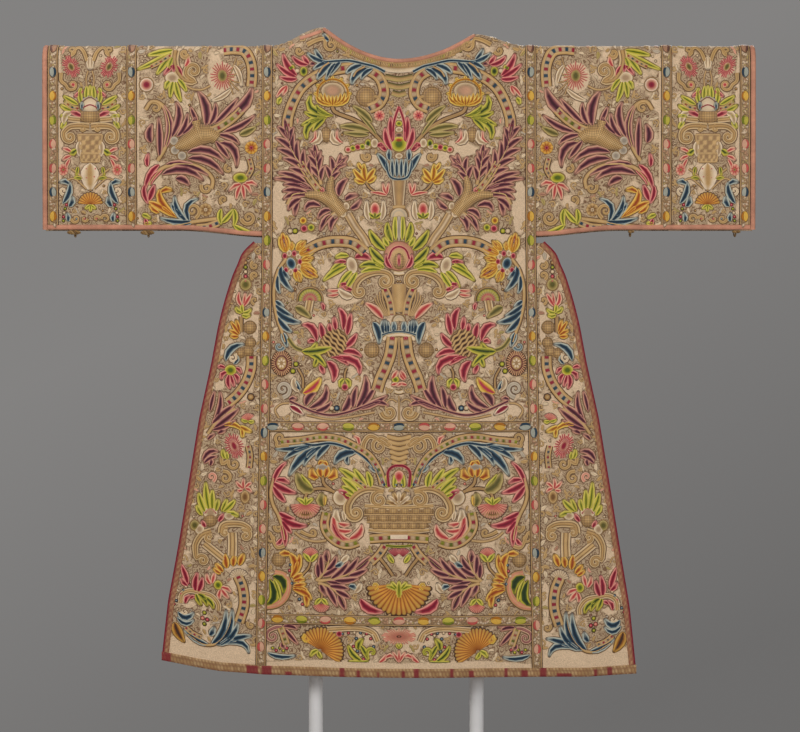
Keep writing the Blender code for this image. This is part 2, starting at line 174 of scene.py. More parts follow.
def hang_depth(side, x, z):
    fall = np.clip((BULGE_START_Z - z) / (BULGE_START_Z - HEM_Z), 0.0, 1.0)
    reach = np.maximum(table_column(GORE_EDGE, z), BELL_LEAST)
    bell = np.cos(np.minimum(np.abs(x) / reach, 1.0) * math.pi / 2) ** 2
    bulge = HEM_BULGE * smooth(fall * BULGE_SHARE) / smooth(BULGE_SHARE)
    inset = EDGE_INSET * smooth(fall * INSET_PACE)
    return FOLD_RADIUS + bulge * bell - inset * (1 - bell) + soft_folds(side, x, z)


def cloth_points(side, x, z, lift):
    """Places on the cloth, moved out along its normals by lift."""
    sign = SIDES[side]
    edge = SLOPE_REACH
    drop = np.maximum(fold_z(x) - z, 0.0)
    over = drop < FOLD_RADIUS
    arc = np.maximum(np.sqrt(np.clip(drop * (2 * FOLD_RADIUS - drop), 0.0, None)), SEAM_GAP / 2)
    depth = np.where(over, arc, hang_depth(side, x, z))
    slope = (fold_z(x + edge) - fold_z(x - edge)) / (2 * edge)
    up = FOLD_RADIUS - drop
    across = (hang_depth(side, x + edge, z) - hang_depth(side, x - edge, z)) / (2 * edge)
    down = (hang_depth(side, x, z + edge) - hang_depth(side, x, z - edge)) / (2 * edge)
    normal = np.where(
        over[..., None],
        np.stack([-slope * up, sign * depth, up], axis=-1),
        np.stack([-across, np.full_like(x, sign), -down], axis=-1),
    )
    normal /= np.linalg.norm(normal, axis=-1, keepdims=True)
    place = np.stack([x, sign * depth, np.minimum(z, fold_z(x))], axis=-1)
    return place + normal * np.asarray(lift)[..., None]


CREASES = (  # side, across, level, half length, half width, lean in degrees from upright, height
    ("front", -0.185, 1.330, 0.140, 0.022, 24, 0.0016),
    ("front", 0.178, 1.300, 0.170, 0.026, -20, 0.0014),
    ("front", 0.060, 1.060, 0.150, 0.030, 8, -0.0014),
    ("front", -0.090, 0.930, 0.190, 0.026, -6, -0.0016),
    ("front", -0.300, 0.820, 0.210, 0.020, -7, 0.0024),
    ("front", 0.305, 0.760, 0.240, 0.024, 8, 0.0022),
    ("front", -0.370, 0.520, 0.110, 0.020, -5, -0.0026),
    ("front", 0.372, 0.560, 0.130, 0.018, 6, -0.0020),
    ("front", -0.410, 1.330, 0.120, 0.024, 6, 0.0014),
    ("front", 0.395, 1.310, 0.150, 0.028, -4, 0.0016),
    ("front", 0.560, 1.330, 0.130, 0.020, 3, -0.0012),
    ("back", -0.160, 1.340, 0.150, 0.024, 18, 0.0018),
    ("back", 0.190, 1.290, 0.130, 0.022, -22, 0.0015),
    ("back", -0.040, 1.020, 0.180, 0.030, -5, -0.0015),
    ("back", 0.110, 0.880, 0.200, 0.026, 7, 0.0016),
    ("back", -0.310, 0.800, 0.230, 0.022, -8, 0.0022),
    ("back", 0.315, 0.740, 0.210, 0.020, 9, 0.0024),
    ("back", -0.400, 1.300, 0.140, 0.026, 5, 0.0015),
    ("back", 0.420, 1.320, 0.120, 0.022, -6, 0.0014),
)


def creases(side, x, z):
    """Height of the soft troughs and ridges that are pressed into the cloth."""
    found = np.zeros_like(x)
    for name, across, level, half_length, half_width, lean, height in CREASES:
        if name == side:
            cosine, sine = math.cos(math.radians(lean)), math.sin(math.radians(lean))
            along = ((z - level) * cosine + (x - across) * sine) / half_length
            aside = ((x - across) * cosine - (z - level) * sine) / half_width
            found += height * np.exp(-along * along - aside * aside)
    return found


def hem_level(side, x, nominal):
    """The level of a row at x: the hem's rise fades out upwards."""
    fade = smooth((HEM_RISE_TOP_Z - nominal) / (HEM_RISE_TOP_Z - HEM_Z))
    return nominal + table_column(HEM_RISE, x, 1 if side == "front" else 2) * fade


def on_cloth(side, x, nominal, lift):
    """A place on the creased cloth, from its distance across and its level before the hem's rise."""
    z = hem_level(side, x, nominal)
    return cloth_points(side, x, z, np.asarray(lift) + creases(side, x, z))


# ---------------------------------------------------------------------------
# Thread colours, as sRGB out of 255
# ---------------------------------------------------------------------------


def linear(red, green, blue):
    """A display colour in linear light."""
    value = np.array((red, green, blue), float) / 255
    return np.where(value <= 0.04045, value / 12.92, ((value + 0.055) / 1.055) ** 2.4)


AGEING = np.array((0.89, 0.765, 0.635))


def thread(red, green, blue):
    """A thread colour in linear light, warmed by age."""
    return linear(red, green, blue) * AGEING


SHADOW = thread(78, 56, 44)
BROWN = thread(72, 46, 34)
TAN = thread(168, 140, 104)
GOLD = thread(196, 164, 112)
PALE_GOLD = thread(218, 190, 140)
CREAM = thread(232, 216, 188)
IVORY = thread(244, 232, 214)
CRIMSON = thread(150, 22, 58)
SALMON = thread(214, 158, 138)

TONES = {  # dark heart, middle, pale edge
    "plum": (thread(70, 24, 42), thread(146, 82, 98), thread(214, 168, 150)),
    "blue": (thread(18, 42, 66), thread(58, 98, 128), thread(192, 206, 204)),
    "green": (thread(40, 62, 16), thread(138, 150, 34), thread(212, 206, 92)),
    "deep": (thread(34, 56, 16), thread(62, 88, 24), thread(188, 188, 62)),
    "lime": (thread(88, 110, 20), thread(182, 184, 44), thread(222, 216, 110)),
    "moss": (thread(98, 96, 42), thread(158, 146, 84), thread(200, 186, 128)),
    "yellow": (thread(160, 92, 26), thread(224, 176, 44), thread(240, 214, 118)),
    "orange": (thread(158, 72, 26), thread(216, 152, 44), thread(238, 202, 108)),
    "crimson": (thread(124, 14, 44), thread(188, 56, 84), thread(234, 164, 158)),
    "pink": (thread(186, 58, 66), thread(226, 142, 130), thread(240, 202, 180)),
    "gold": (thread(126, 92, 52), thread(184, 150, 98), thread(214, 188, 138)),
    "ivory": (thread(178, 154, 126), thread(222, 206, 176), thread(246, 234, 212)),
    "dusky": (thread(96, 70, 66), thread(150, 104, 92), thread(206, 166, 140)),
    "grey": (thread(156, 150, 142), thread(188, 182, 170), thread(214, 208, 196)),
}


def tones_of(tones):
    """A heart, middle and edge colour, from its name or as given."""
    return TONES[tones] if isinstance(tones, str) else tones


CORAL = (CRIMSON, SALMON, IVORY)
JEWELS = ("crimson", "ivory", "blue", "ivory")
LIME_JEWELS = ("lime", "ivory", "crimson", "ivory", "green", "ivory")

SATIN, CORD, NET, BASKET = 0.0, 1.0, 2.0, 3.0  # kinds of stitch, for the thread's shader


# ---------------------------------------------------------------------------
# Stitching, gathered in drawing steps and then laid on the cloth
# ---------------------------------------------------------------------------

GRID_TOP = 677  # steps from the drawing's top line down to the hem
TIERS = 9  # neighbouring stitches differ in height, so that no two faces share a place
TIER = 0.014  # mm
TIER_LEAST = 0.2  # mm, what lies lower stays on the cloth


class Work:
    """Raised stitching for one piece: sheets of points with their thread colour and run."""

    def __init__(self):
        self.sheets = []
        self.raised = 0.0  # mm, for what lies on other stitching

    def add(self, places, heights, colours, runs):
        """One sheet of rows and columns: places in steps, heights in mm, colours, and runs."""
        shape = places.shape[:2]
        heights = np.broadcast_to(np.asarray(heights, float), shape)
        tier = TIER * (len(self.sheets) % TIERS)
        colours = np.broadcast_to(colours, shape + (3,))
        runs = np.broadcast_to(runs, shape + (3,))
        self.sheets.append((places, heights + self.raised + tier * (heights > TIER_LEAST), colours, runs))

    def copy_of(self, other, lift=0.0):
        """Another work's sheets again, raised."""
        for places, heights, colours, runs in other.sheets:
            self.sheets.append((places, heights + lift, colours, runs))


def distance_along(line):
    """The distance from a line's start to each of its points."""
    return np.concatenate([[0], np.cumsum(np.linalg.norm(np.diff(line, axis=0), axis=1))])


def path_through(points, spacing):
    """A smooth line through the points, in even steps."""
    points = np.asarray(points, float)
    if len(points) == 2:
        share = np.linspace(0, 1, 5)[:, None]
        line = points[0] * (1 - share) + points[1] * share
    else:
        ends = [2 * points[0] - points[1]], [2 * points[-1] - points[-2]]
        knots = np.concatenate([ends[0], points, ends[1]])
        share = np.linspace(0, 1, 8, endpoint=False)[:, None]
        spans = []
        for a, b, c, d in zip(knots, knots[1:], knots[2:], knots[3:]):
            bend = (2 * a - 5 * b + 4 * c - d) * share**2 + (3 * b - a - 3 * c + d) * share**3
            spans.append(b + ((c - a) * share + bend) / 2)
        line = np.concatenate(spans + [points[-1:]])
    along = distance_along(line)
    count = max(2, int(round(along[-1] / spacing)) + 1)
    wanted = np.linspace(0, along[-1], count)
    return np.stack([np.interp(wanted, along, line[:, n]) for n in (0, 1)], axis=1)


def curve_through(base, bend, tip, shares):
    """Points on the curve from base to tip that leans towards bend, at shares of its length."""
    s = shares[:, None]
    return base * (1 - s) ** 2 + bend * 2 * s * (1 - s) + tip * s**2


def tangents(line):
    found = np.gradient(line, axis=0)
    return found / np.maximum(np.linalg.norm(found, axis=1, keepdims=True), 1e-9)


def beside(line, aside):
    """Places to the side of a line's points: aside is (rows, columns), or one row for all."""
    normal = tangents(line)[:, ::-1] * (-1.0, 1.0)
    return line[:, None] + normal[:, None] * np.atleast_2d(aside)[..., None]


def runs_along(along, aside, kind):
    """How far each point is along its stitching and to its side, and the kind of stitch, for the shader."""
    along, aside = np.broadcast_arrays(along, aside)
    return np.stack([along, aside, np.full(along.shape, kind)], axis=-1)


def turned_by(way, degrees):
    cosine, sine = math.cos(math.radians(degrees)), math.sin(math.radians(degrees))
    return np.array([way[0] * cosine - way[1] * sine, way[0] * sine + way[1] * cosine])


def parts_of(columns):
    """A cross section's columns as arrays: share of the half width, steps outside it, height, colour."""
    return tuple(np.array(part) for part in zip(*columns))


def mirrored(columns):
    """Columns from the edge to the middle, and on to the other edge."""
    back = [(-share, -outset, height, colour) for share, outset, height, colour in columns[-2::-1]]
    return list(columns) + back


def edge_columns(inner):
    """The couched outline that every raised shape has, outside its own columns."""
    outline = [(-1, -1.35, 0.05, TAN), (-1, -0.65, 0.35, BROWN)]
    return mirrored(outline + inner)


def band(work, points, half, columns, spacing=2.5, taper=None, kind=CORD):
    """A strip along a smooth line. Taper gives its width's share along it."""
    line = path_through(points, spacing)
    share = np.linspace(0, 1, len(line))
    width = half * (np.ones_like(share) if taper is None else taper(share))
    offset, outset, heights, colours = parts_of(columns)
    aside = width[:, None] * offset + outset
    runs = runs_along(distance_along(line)[:, None], aside, kind)
    work.add(beside(line, aside), heights[None], colours[None], runs)


def narrowing(share):
    return 1 - 0.72 * share


GOLD_CORD = mirrored([(-1, -0.5, 0.05, SHADOW), (-1, 0, 0.45, TAN), (0, 0, 0.85, PALE_GOLD)])
STEM = mirrored([(-1, -0.9, 0.05, SHADOW), (-1, -0.3, 0.35, BROWN), (-0.5, 0, 0.75, GOLD), (0, 0, 0.65, TAN)])
RIBBON = edge_columns([(-1, 0, 0.40, PALE_GOLD), (-0.7, 0, 0.35, CREAM), (0, 0, 0.45, IVORY)])
# Cream double edges, a brown line and a gold middle; the pale gold at the very middle is a painted highlight
# along the gold crown
SCROLL = edge_columns([
    (-1, 0, 0.60, CREAM), (-0.62, 0, 0.75, PALE_GOLD), (-0.5, 0, 0.55, BROWN), (-0.36, 0, 0.9, GOLD),
    (0, 0, 1.15, PALE_GOLD),
])
RIB = edge_columns([(-1, 0, 0.50, GOLD), (0, 0, 1.05, PALE_GOLD)])
NET_COLUMNS = edge_columns([(-1, 0, 0.6, TAN), (-0.5, 0, 1.3, GOLD), (0, 0, 1.5, PALE_GOLD)])


def cord(work, points, half=0.8, over=0.0):
    """A couched gold cord. Over is its height in mm above the cloth, where it lies on other stitching."""
    work.raised, below = over, work.raised
    band(work, points, half, GOLD_CORD)
    work.raised = below


def stem(work, points, half):
    band(work, points, half, STEM)


LONG_LOBE_ROWS = np.array([0.0, 0.12, 0.32, 0.55, 0.77, 0.93, 1.0])
SHORT_LOBE_ROWS = np.array([0.0, 0.18, 0.5, 0.84, 1.0])
LONG_LOBE = 15.0  # steps, from base to tip
LOBE_FOOT = 0.6  # share of its height at the base
LOBE_TIP = 0.12  # mm


def lobe_columns(tones):
    """Satin stitch from a dark heart to a pale edge. In the fresh greens the heart is narrow."""
    dark, middle, pale = tones
    fresh = any(tones is TONES[name] for name in ("green", "lime"))
    body, heart = (0.36, 0.10) if fresh else (0.54, 0.18)
    return edge_columns([
        (-1, -0.15, 0.50, pale), (-0.76, 0, 0.85, pale), (-body, 0, 0.95, middle),
        (-heart, 0, 0.85, dark), (0, 0, 0.75, dark),
    ])


def satin_columns(name):
    """A lobe's columns without its couched outline."""
    return lobe_columns(TONES[name])[2:-2]


def narrow_columns(name):
    """A lobe's columns without its outline and its outermost stitches."""
    return lobe_columns(TONES[name])[3:-3]


def lobe(work, base, bend, tip, half, tones):
    """One satin-stitched lobe, from its base to its tip by way of a bend."""
    tones = tones_of(tones)
    base, bend, tip = (np.asarray(point, float) for point in (base, bend, tip))
    length = np.linalg.norm(tip - base)
    rows = LONG_LOBE_ROWS if length > LONG_LOBE else SHORT_LOBE_ROWS
    line = curve_through(base, bend, tip, rows)
    width = half * np.sin(math.pi * rows**0.85) ** 0.75
    width[0] = width[-1] = 0.0
    offset, outset, heights, colours = parts_of(lobe_columns(tones))
    aside = width[:, None] * offset + outset
    places = beside(line, aside)
    places[-1] += tangents(line)[-1] * (1.0 - 0.5 * np.abs(outset))[:, None]
    heights = np.tile(heights, (len(rows), 1))
    heights[0] *= LOBE_FOOT
    heights[-1] = LOBE_TIP
    colours = np.tile(colours, (len(rows), 1, 1))
    colours[-1] = BROWN
    colours[-2] = colours[-2] * 0.5 + tones[2] * 0.5
    work.add(places, heights, colours, runs_along(rows[:, None] * length, aside, SATIN))


def lobes(work, tones, rows, half=3.2):
    """Several lobes: each row is a base, a bend and a tip, and its own half width where it differs."""
    for row in rows:
        lobe(work, *row[:3], row[3] if len(row) > 3 else half, TONES[tones])


FEATHER_START, FEATHER_END = 0.1, 0.92  # shares of the spine that bear lobes


def feather(work, spine, tones, count, reach, half, spread_out):
    """An acanthus plume: lobes in step along a spine, each curling away from it, and one at its tip."""
    line = path_through(spine, 1.0)
    ahead = tangents(line)
    last = len(line) - 1
    for n in range(count):
        share = FEATHER_START + (FEATHER_END - FEATHER_START) * n / count
        index = int(share * last)
        for k, side in enumerate((-1, 1)):
            at = min(last, index + k * max(1, int(last * 0.35 / count)))
            size = reach * (0.72 + 0.28 * math.sin(math.pi * min(1.0, share + 0.25)))
            bend = line[at] + turned_by(ahead[at], side * spread_out * 0.25) * size * 0.52
            tip = line[at] + turned_by(ahead[at], side * spread_out) * size
            lobe(work, line[at], bend, tip, half, tones)
    foot = line[int(last * 0.78)]
    lobe(work, foot, line[-1], line[-1] + ahead[-1] * reach * 0.42, half * 0.95, tones)
    band(work, spine, 1.4, RIB, taper=narrowing)


SPRAY_LEAN = 0.35


def spray(work, base, tips, tones, half):
    """Lobes from one base, each bent a little towards the upright."""
    base = np.asarray(base, float)
    middle = np.mean(np.asarray(tips, float), axis=0) - base
    for tip in tips:
        way = np.asarray(tip, float) - base
        upright = middle / np.linalg.norm(middle) * np.linalg.norm(way)
        lobe(work, base, base + way * 0.5 + (upright - way) * SPRAY_LEAN * 0.5, tip, half, tones)


def oval(
    work, centre, wide, high=None, tones="ivory", lean=0.0, count=16, rings=None, kind=SATIN, outlined=True
):
    """A padded oval. Its rings are the share of the radius, the height and the colour, from the middle."""
    centre = np.asarray(centre, float)
    high = wide if high is None else high
    dark, middle, pale = tones_of(tones)
    rings = rings or [(0.0, 0.95, dark), (0.35, 1.0, dark), (0.7, 0.85, middle), (1.0, 0.45, pale)]
    rows = [(share, 0.0, height, colour) for share, height, colour in rings]
    if outlined:
        rows += [(1.0, 0.45, 0.22, BROWN), (1.0, 1.0, 0.50, GOLD), (1.0, 1.5, 0.05, SHADOW)]
    share, outset, heights, colours = (part[:, None] for part in parts_of(rows))
    angle = np.linspace(0, 2 * math.pi, count + 1)
    around = np.stack([np.sin(angle), -np.cos(angle)], axis=1)
    places = around[None] * share[..., None] * (wide, high) + around[None] * outset[..., None]
    cosine, sine = math.cos(math.radians(lean)), math.sin(math.radians(lean))
    places = places @ np.array([(cosine, sine), (-sine, cosine)]) + centre
    runs = np.concatenate([places - centre, np.full(places.shape[:2] + (1,), kind)], axis=-1)
    work.add(places, heights, colours, runs)


def bead(work, centre, radius, tones):
    """A small knot of thread. Its shadow is a sheet of its own."""
    tones = tones_of(tones)
    dark, middle, pale = tones
    for rings in (
        [(0.0, 1.1, pale), (0.6, 0.9, middle), (1.0, 0.3, dark)],
        [(1.0, 0.3, BROWN), (1.35, 0.05, SHADOW)],
    ):
        oval(work, centre, radius, tones=tones, count=7, rings=rings, outlined=False)


def net(work, centre, wide, high=None):
    """A gold-net pod or cushion."""
    rings = [(0.0, 1.5, PALE_GOLD), (0.5, 1.3, GOLD), (0.85, 0.9, TAN), (1.0, 0.5, GOLD)]
    oval(work, centre, wide, high, rings=rings, kind=NET)


PINEAPPLE_ROPES = 7
ROPE = mirrored([
    (-1, -0.4, 0.05, BROWN), (-1, 0, 0.6, BROWN), (-0.45, 0, 0.95, GOLD), (0, 0, 1.1, PALE_GOLD),
])


def pineapple(work, centre, wide, high, lean):
    """A pod of twisted gold ropes, laid in waves side by side."""
    centre = np.asarray(centre, float)
    rings = [(0.0, 0.5, BROWN), (0.8, 0.4, BROWN), (1.0, 0.2, TAN)]
    oval(work, centre, wide, high, lean=lean, rings=rings, kind=CORD)
    work.raised = 0.5
    for n in range(PINEAPPLE_ROPES):
        level = (n - (PINEAPPLE_ROPES - 1) / 2) / (PINEAPPLE_ROPES / 2) * 0.92
        reach = math.sqrt(1 - level**2)
        across = np.linspace(-reach, reach, 11)
        down = level + 0.05 * np.sin(across * 9 + n * 2.1)
        points = [centre + turned_by(np.array([wide * x, high * y]), lean) for x, y in zip(across, down)]
        band(work, points, high / PINEAPPLE_ROPES * 0.74, ROPE, 1.6)
    work.raised = 0.0


def aster(work, centre, wide, high, tones, heart, petals):
    """A flower of thin rays round a heart."""
    centre = np.asarray(centre, float)
    dark, middle, pale = tones_of(tones)
    count = petals * 2
    angle = np.linspace(0, 2 * math.pi, count + 1)
    around = np.stack([np.sin(angle), -np.cos(angle)], axis=1)
    ray = (np.arange(count + 1) % 2)[:, None]
    rows = (  # share of the radius, height, colour of a ray and of the gap beside it
        (0.25, 0.7, dark, dark), (0.5, 0.9, middle, dark), (0.8, 0.75, pale, middle),
        (1.0, 0.4, pale, middle), (1.06, 0.05, BROWN, SHADOW),
    )
    places, heights, colours = [], [], []
    for share, height, even, odd in rows:
        scale = share * (1 - 0.07 * ray * (share > 0.9))
        places.append(around * scale * (wide, high) + centre)
        heights.append(np.full(count + 1, height) - 0.25 * ray[:, 0] * (height > 0.5))
        colours.append(np.where(ray > 0, odd, even))
    places = np.array(places)
    runs = np.concatenate([places - centre, np.zeros(places.shape[:2] + (1,))], axis=-1)
    work.add(places, np.array(heights), np.array(colours), runs)
    oval(work, centre, wide * 0.3, high * 0.3, heart, count=10, outlined=False)


def spiked(work, centre, wide, high, tones, heart, count, lean=0.0):
    """A flower of loose, thin rays, uneven in length, round an oval heart."""
    centre = np.asarray(centre, float)
    dark, middle, pale = tones_of(tones)
    columns = mirrored([
        (-1, -0.2, 0.05, pale), (-0.8, 0, 0.5, pale), (-0.45, 0, 0.8, middle), (0, 0, 0.9, dark),
    ])
    for n in range(count):
        turn = math.tau * n / count
        way = turned_by(np.array([wide * math.sin(turn), -high * math.cos(turn)]), lean)
        reach = 0.96 + 0.10 * math.sin(4.7 * n) - 0.10 * (n % 2)
        points = [centre + way * share for share in (0.36, 0.7, reach)]
        band(work, points, 0.72, columns, 3.2, taper=lambda share: 0.7 + 0.8 * share * (1 - share))
    oval(work, centre, wide * 0.36, high * 0.44, heart, lean=lean, count=12)


def sunflower(work, centre):
    """Fine rays round a dark ring, with pale petals on a gold middle."""
    centre = np.asarray(centre, float)
    wide, high, rays, petals = 9.6, 12.0, 30, 7
    dark, tawny, pale = thread(112, 52, 52), thread(196, 142, 108), thread(222, 184, 146)
    rings = [(0.0, 0.3, BROWN), (0.9, 0.3, BROWN), (1.08, 0.2, BROWN), (1.14, 0.05, TAN)]
    oval(work, centre, wide, high, count=24, rings=rings, outlined=False)
    columns = [(-1, 0, 0.25, tawny), (0, 0, 0.95, pale), (1, 0, 0.25, tawny)]
    for n in range(rays):
        turn = math.tau * n / rays
        way = np.array([wide * math.sin(turn), -high * math.cos(turn)])
        points = [centre + way * share for share in (0.64, 0.84, 1.04 + 0.03 * math.sin(3.1 * n))]
        band(work, points, 0.62, columns, 2.0)
    ring = [(0.0, 0.9, dark), (0.9, 1.0, dark), (1.0, 0.5, dark)]
    oval(work, centre, wide * 0.70, high * 0.70, count=20, rings=ring, outlined=False)
    disc = [(0.0, 1.2, TAN), (0.85, 1.25, GOLD), (1.0, 1.0, TAN)]
    oval(work, centre, wide * 0.54, high * 0.56, count=16, rings=disc, outlined=False)
    work.raised = 0.9
    for n in range(petals):
        turn = math.tau * n / petals
        way = np.array([wide * math.sin(turn), -high * math.cos(turn)])
        base, bend, tip = (centre + way * share for share in (0.16, 0.3, 0.5))
        petal(work, base, bend, tip, 1.0, (GOLD, IVORY, CREAM))
    work.raised = 0.0


FAN_SCALLOP = 0.06  # how far its edge is drawn in between the ribs


def fan(work, base, radius, facing, spread, tones, ribs):
    """A ribbed fan: facing and spread in degrees, 0 facing up and 90 facing out."""
    base = np.asarray(base, float)
    dark, middle, pale = tones_of(tones)
    count = ribs * 4
    turn = np.radians(facing + spread * np.linspace(-0.5, 0.5, count + 1))
    way = np.stack([np.sin(turn), -np.cos(turn)], axis=1)
    ridge = np.array([0.0, 0.8, 1.0, 0.8])[np.arange(count + 1) % 4]
    rows = ((0.06, 0.6), (0.3, 0.9), (0.6, 1.1), (0.86, 0.9), (0.97, 0.6), (1.03, 0.2), (1.07, 0.05))
    places, heights, colours = [], [], []
    for share, height in rows:
        length = radius * share * (1 - FAN_SCALLOP * (1 - ridge) * (share > 0.8))
        places.append(base + way * length[:, None])
        heights.append(height * (0.45 + 0.55 * ridge))
        edge = min(share, 1.0)
        half_way = middle * (1 - abs(2 * edge - 1)) * 0.6
        lit = dark * (1 - edge) * 0.5 + half_way + pale * edge * 0.62 + middle * 0.12
        colour = dark * (1 - ridge[:, None]) * 0.95 + lit * ridge[:, None]
        if share > 1.0:
            colour = np.broadcast_to(SHADOW if share > 1.05 else BROWN, colour.shape)
        colours.append(colour)
    places = np.array(places)
    runs = np.zeros(places.shape[:2] + (3,))
    runs[..., 0] = np.linalg.norm(places - base, axis=-1)
    work.add(places, np.array(heights), np.array(colours), runs)


def spiral(centre, radius, turns, start, hand):
    """Points of a scroll, from its outer end to its eye: start in degrees, 0 up and 90 out."""
    share = np.linspace(0, 1, max(6, int(turns * 10)))
    turn = np.radians(start) + hand * share * turns * 2 * math.pi
    reach = radius * (1 - 0.86 * share**0.8)
    return np.asarray(centre, float) + np.stack([np.sin(turn), -np.cos(turn)], axis=1) * reach[:, None]


WIDE_SCROLL = 2.1  # a scroll with more than this half width has an inner rib


def volute(work, centre, radius, turns, start, hand, tail=(), half=1.6, tones="gold"):
    """A scroll with a tail that leads into its outer end."""
    _, middle, pale = tones_of(tones)
    if half > WIDE_SCROLL:
        # Cream and pale edges, a brown line and the thread's middle tone; the paler mix at the very middle is
        # a painted highlight along the scroll's crown
        inner = [
            (-1, 0, 0.60, pale * 0.5 + CREAM * 0.5), (-0.62, 0, 0.75, pale), (-0.5, 0, 0.55, BROWN),
            (-0.36, 0, 0.9, middle), (0, 0, 1.1, middle * 0.5 + pale * 0.5),
        ]
    else:
        inner = [(-1, 0, 0.60, pale), (0, 0, 1.1, middle)]
    points = list(tail) + list(spiral(centre, radius, turns, start, hand))
    band(work, points, half, edge_columns(inner), spacing=2.0, taper=lambda share: 1 - 0.55 * share)


JEWEL_ROW = 1.1  # steps from one row of points to the next along a jewelled ribbon
JEWEL_SHARE = 0.72  # of the way to the next jewel that a jewel fills
JEWELLED = mirrored([
    (-1, -1.1, 0.05, SHADOW), (-1, -0.5, 0.45, BROWN), (-1, 0, 0.95, GOLD), (-0.58, 0, 0.90, PALE_GOLD),
    (-0.46, 0, 0.60, TAN), (-0.40, 0, 0.85, IVORY), (0, 0, 0.95, IVORY),
])


def jewels(work, points, half, cycle=JEWELS, gap=3.3):
    """A gold-edged ribbon whose channel is filled with square coloured stitches."""
    line = path_through(points, JEWEL_ROW)
    share, outset, heights, colours = parts_of(JEWELLED)
    offset = share * half + outset
    colours = np.tile(colours, (len(line), 1, 1))
    channel = slice(5, 8)
    for n in range(len(line)):
        part = n * JEWEL_ROW / gap
        dark, middle, _ = TONES[cycle[int(part) % len(cycle)]]
        colours[n, channel] = dark * 0.6 + middle * 0.4 if part % 1.0 < JEWEL_SHARE else TAN
    runs = runs_along(np.arange(len(line))[:, None] * JEWEL_ROW, offset, CORD)
    work.add(beside(line, offset), heights[None], colours, runs)


def calyx(work, base, facing, size, tones, count=3):
    """Small pointed sepals under a flower."""
    base = np.asarray(base, float)
    for n in range(count):
        turn = math.radians(facing + (n - (count - 1) / 2) * 52)
        tip = base + np.array([math.sin(turn), -math.cos(turn)]) * size
        lobe(work, base, (base + tip) / 2, tip, size * 0.22, tones)


def bud(work, base, tip, wide, tones):
    """A closed bud on its sepals."""
    base, tip = np.asarray(base, float), np.asarray(tip, float)
    way = tip - base
    length = np.linalg.norm(way)
    facing = math.degrees(math.atan2(way[0], -way[1]))
    oval(work, base + way * 0.6, wide, length * 0.45, tones, lean=facing, count=12)
    calyx(work, base, facing, length * 0.6, "green")


LOTUS_PETALS = 9


def lotus(work, base, wide, high):
    """A yellow lotus: a bowl of curved petals under a pointed arch, with speckled lace between."""
    base = np.asarray(base, float)
    yellow = TONES["yellow"]
    rim = base - (0, high * 0.46)
    lace = (TONES["dusky"][2], TONES["ivory"][0], TONES["ivory"][1])
    oval(work, rim - (0, high * 0.12), wide * 0.72, high * 0.30, lace, count=16)
    for n in range(8):
        bead(work, rim + (wide * (0.14 * n - 0.49), -high * (0.16 + 0.07 * (n % 2))), 0.7, "dusky")
    arch = [rim + (wide * math.sin(t), -high * 0.56 * math.cos(t)) for t in np.linspace(-1.75, 1.75, 9)]
    band(work, arch, 1.5, narrow_columns("yellow"))
    for n in range(7):
        turn = math.radians((n - 3) * 30)
        foot = rim + (wide * 0.98 * math.sin(turn), -high * 0.56 * math.cos(turn))
        lobe(work, foot, foot, foot + (4 * math.sin(turn), -4 * math.cos(turn)), 1.5, yellow)
    for share in sorted(np.linspace(-1, 1, LOTUS_PETALS), key=abs, reverse=True):
        tip = base + (wide * share, -high * (0.56 - 0.10 * share**2))
        lobe(work, base, base + (wide * 1.18 * share, -high * 0.10), tip, 2.1, yellow)


def dome(work, base, radius, colours):
    """A half round of dashed bands, like a cut fruit: the colours of its six bands, from the outside."""
    base = np.asarray(base, float)
    turn = np.radians(np.linspace(-96, 96, 25))
    way = np.stack([np.sin(turn), -np.cos(turn)], axis=1)
    shares = [1.16, 1.08, 1.0] + [1 - 0.17 * n for n in range(1, 6)] + [0.0]
    tints = [SHADOW, GOLD, BROWN] + [TONES[name][1] for name in colours[1:]] + [TONES[colours[-1]][0]]
    places = np.array([base + way * radius * share for share in shares])
    heights = np.array([0.05, 0.5, 0.25] + [0.8] * 6)[:, None]
    tints = np.tile(np.array(tints)[:, None], (1, len(turn), 1))
    tints[3:-1, ::2] = tints[3:-1, ::2] * 0.72 + CREAM * 0.28
    work.add(places, heights, tints, np.zeros(places.shape[:2] + (3,)))


PETAL_ROWS = np.array([0.0, 0.3, 0.7, 1.0])
PETAL_WIDTHS = np.array([0.0, 1.0, 0.8, 0.0])


def petal(work, base, bend, tip, half, tones):
    """A small couched leaf, with fewer points than a lobe."""
    base, bend, tip = (np.asarray(point, float) for point in (base, bend, tip))
    line = curve_through(base, bend, tip, PETAL_ROWS)
    edge = BROWN * 0.5 + TAN * 0.5
    columns = mirrored([(-1, -0.8, 0.1, edge), (-1, 0.1, 0.55, tones[2]), (0, 0, 0.6, tones[1])])
    offset, outset, heights, colours = parts_of(columns)
    aside = half * PETAL_WIDTHS[:, None] * offset + outset
    heights = np.tile(heights, (len(line), 1))
    heights[-1] = 0.1
    runs = runs_along(PETAL_ROWS[:, None] * np.linalg.norm(tip - base), aside, SATIN)
    work.add(beside(line, aside), heights, colours[None], runs)


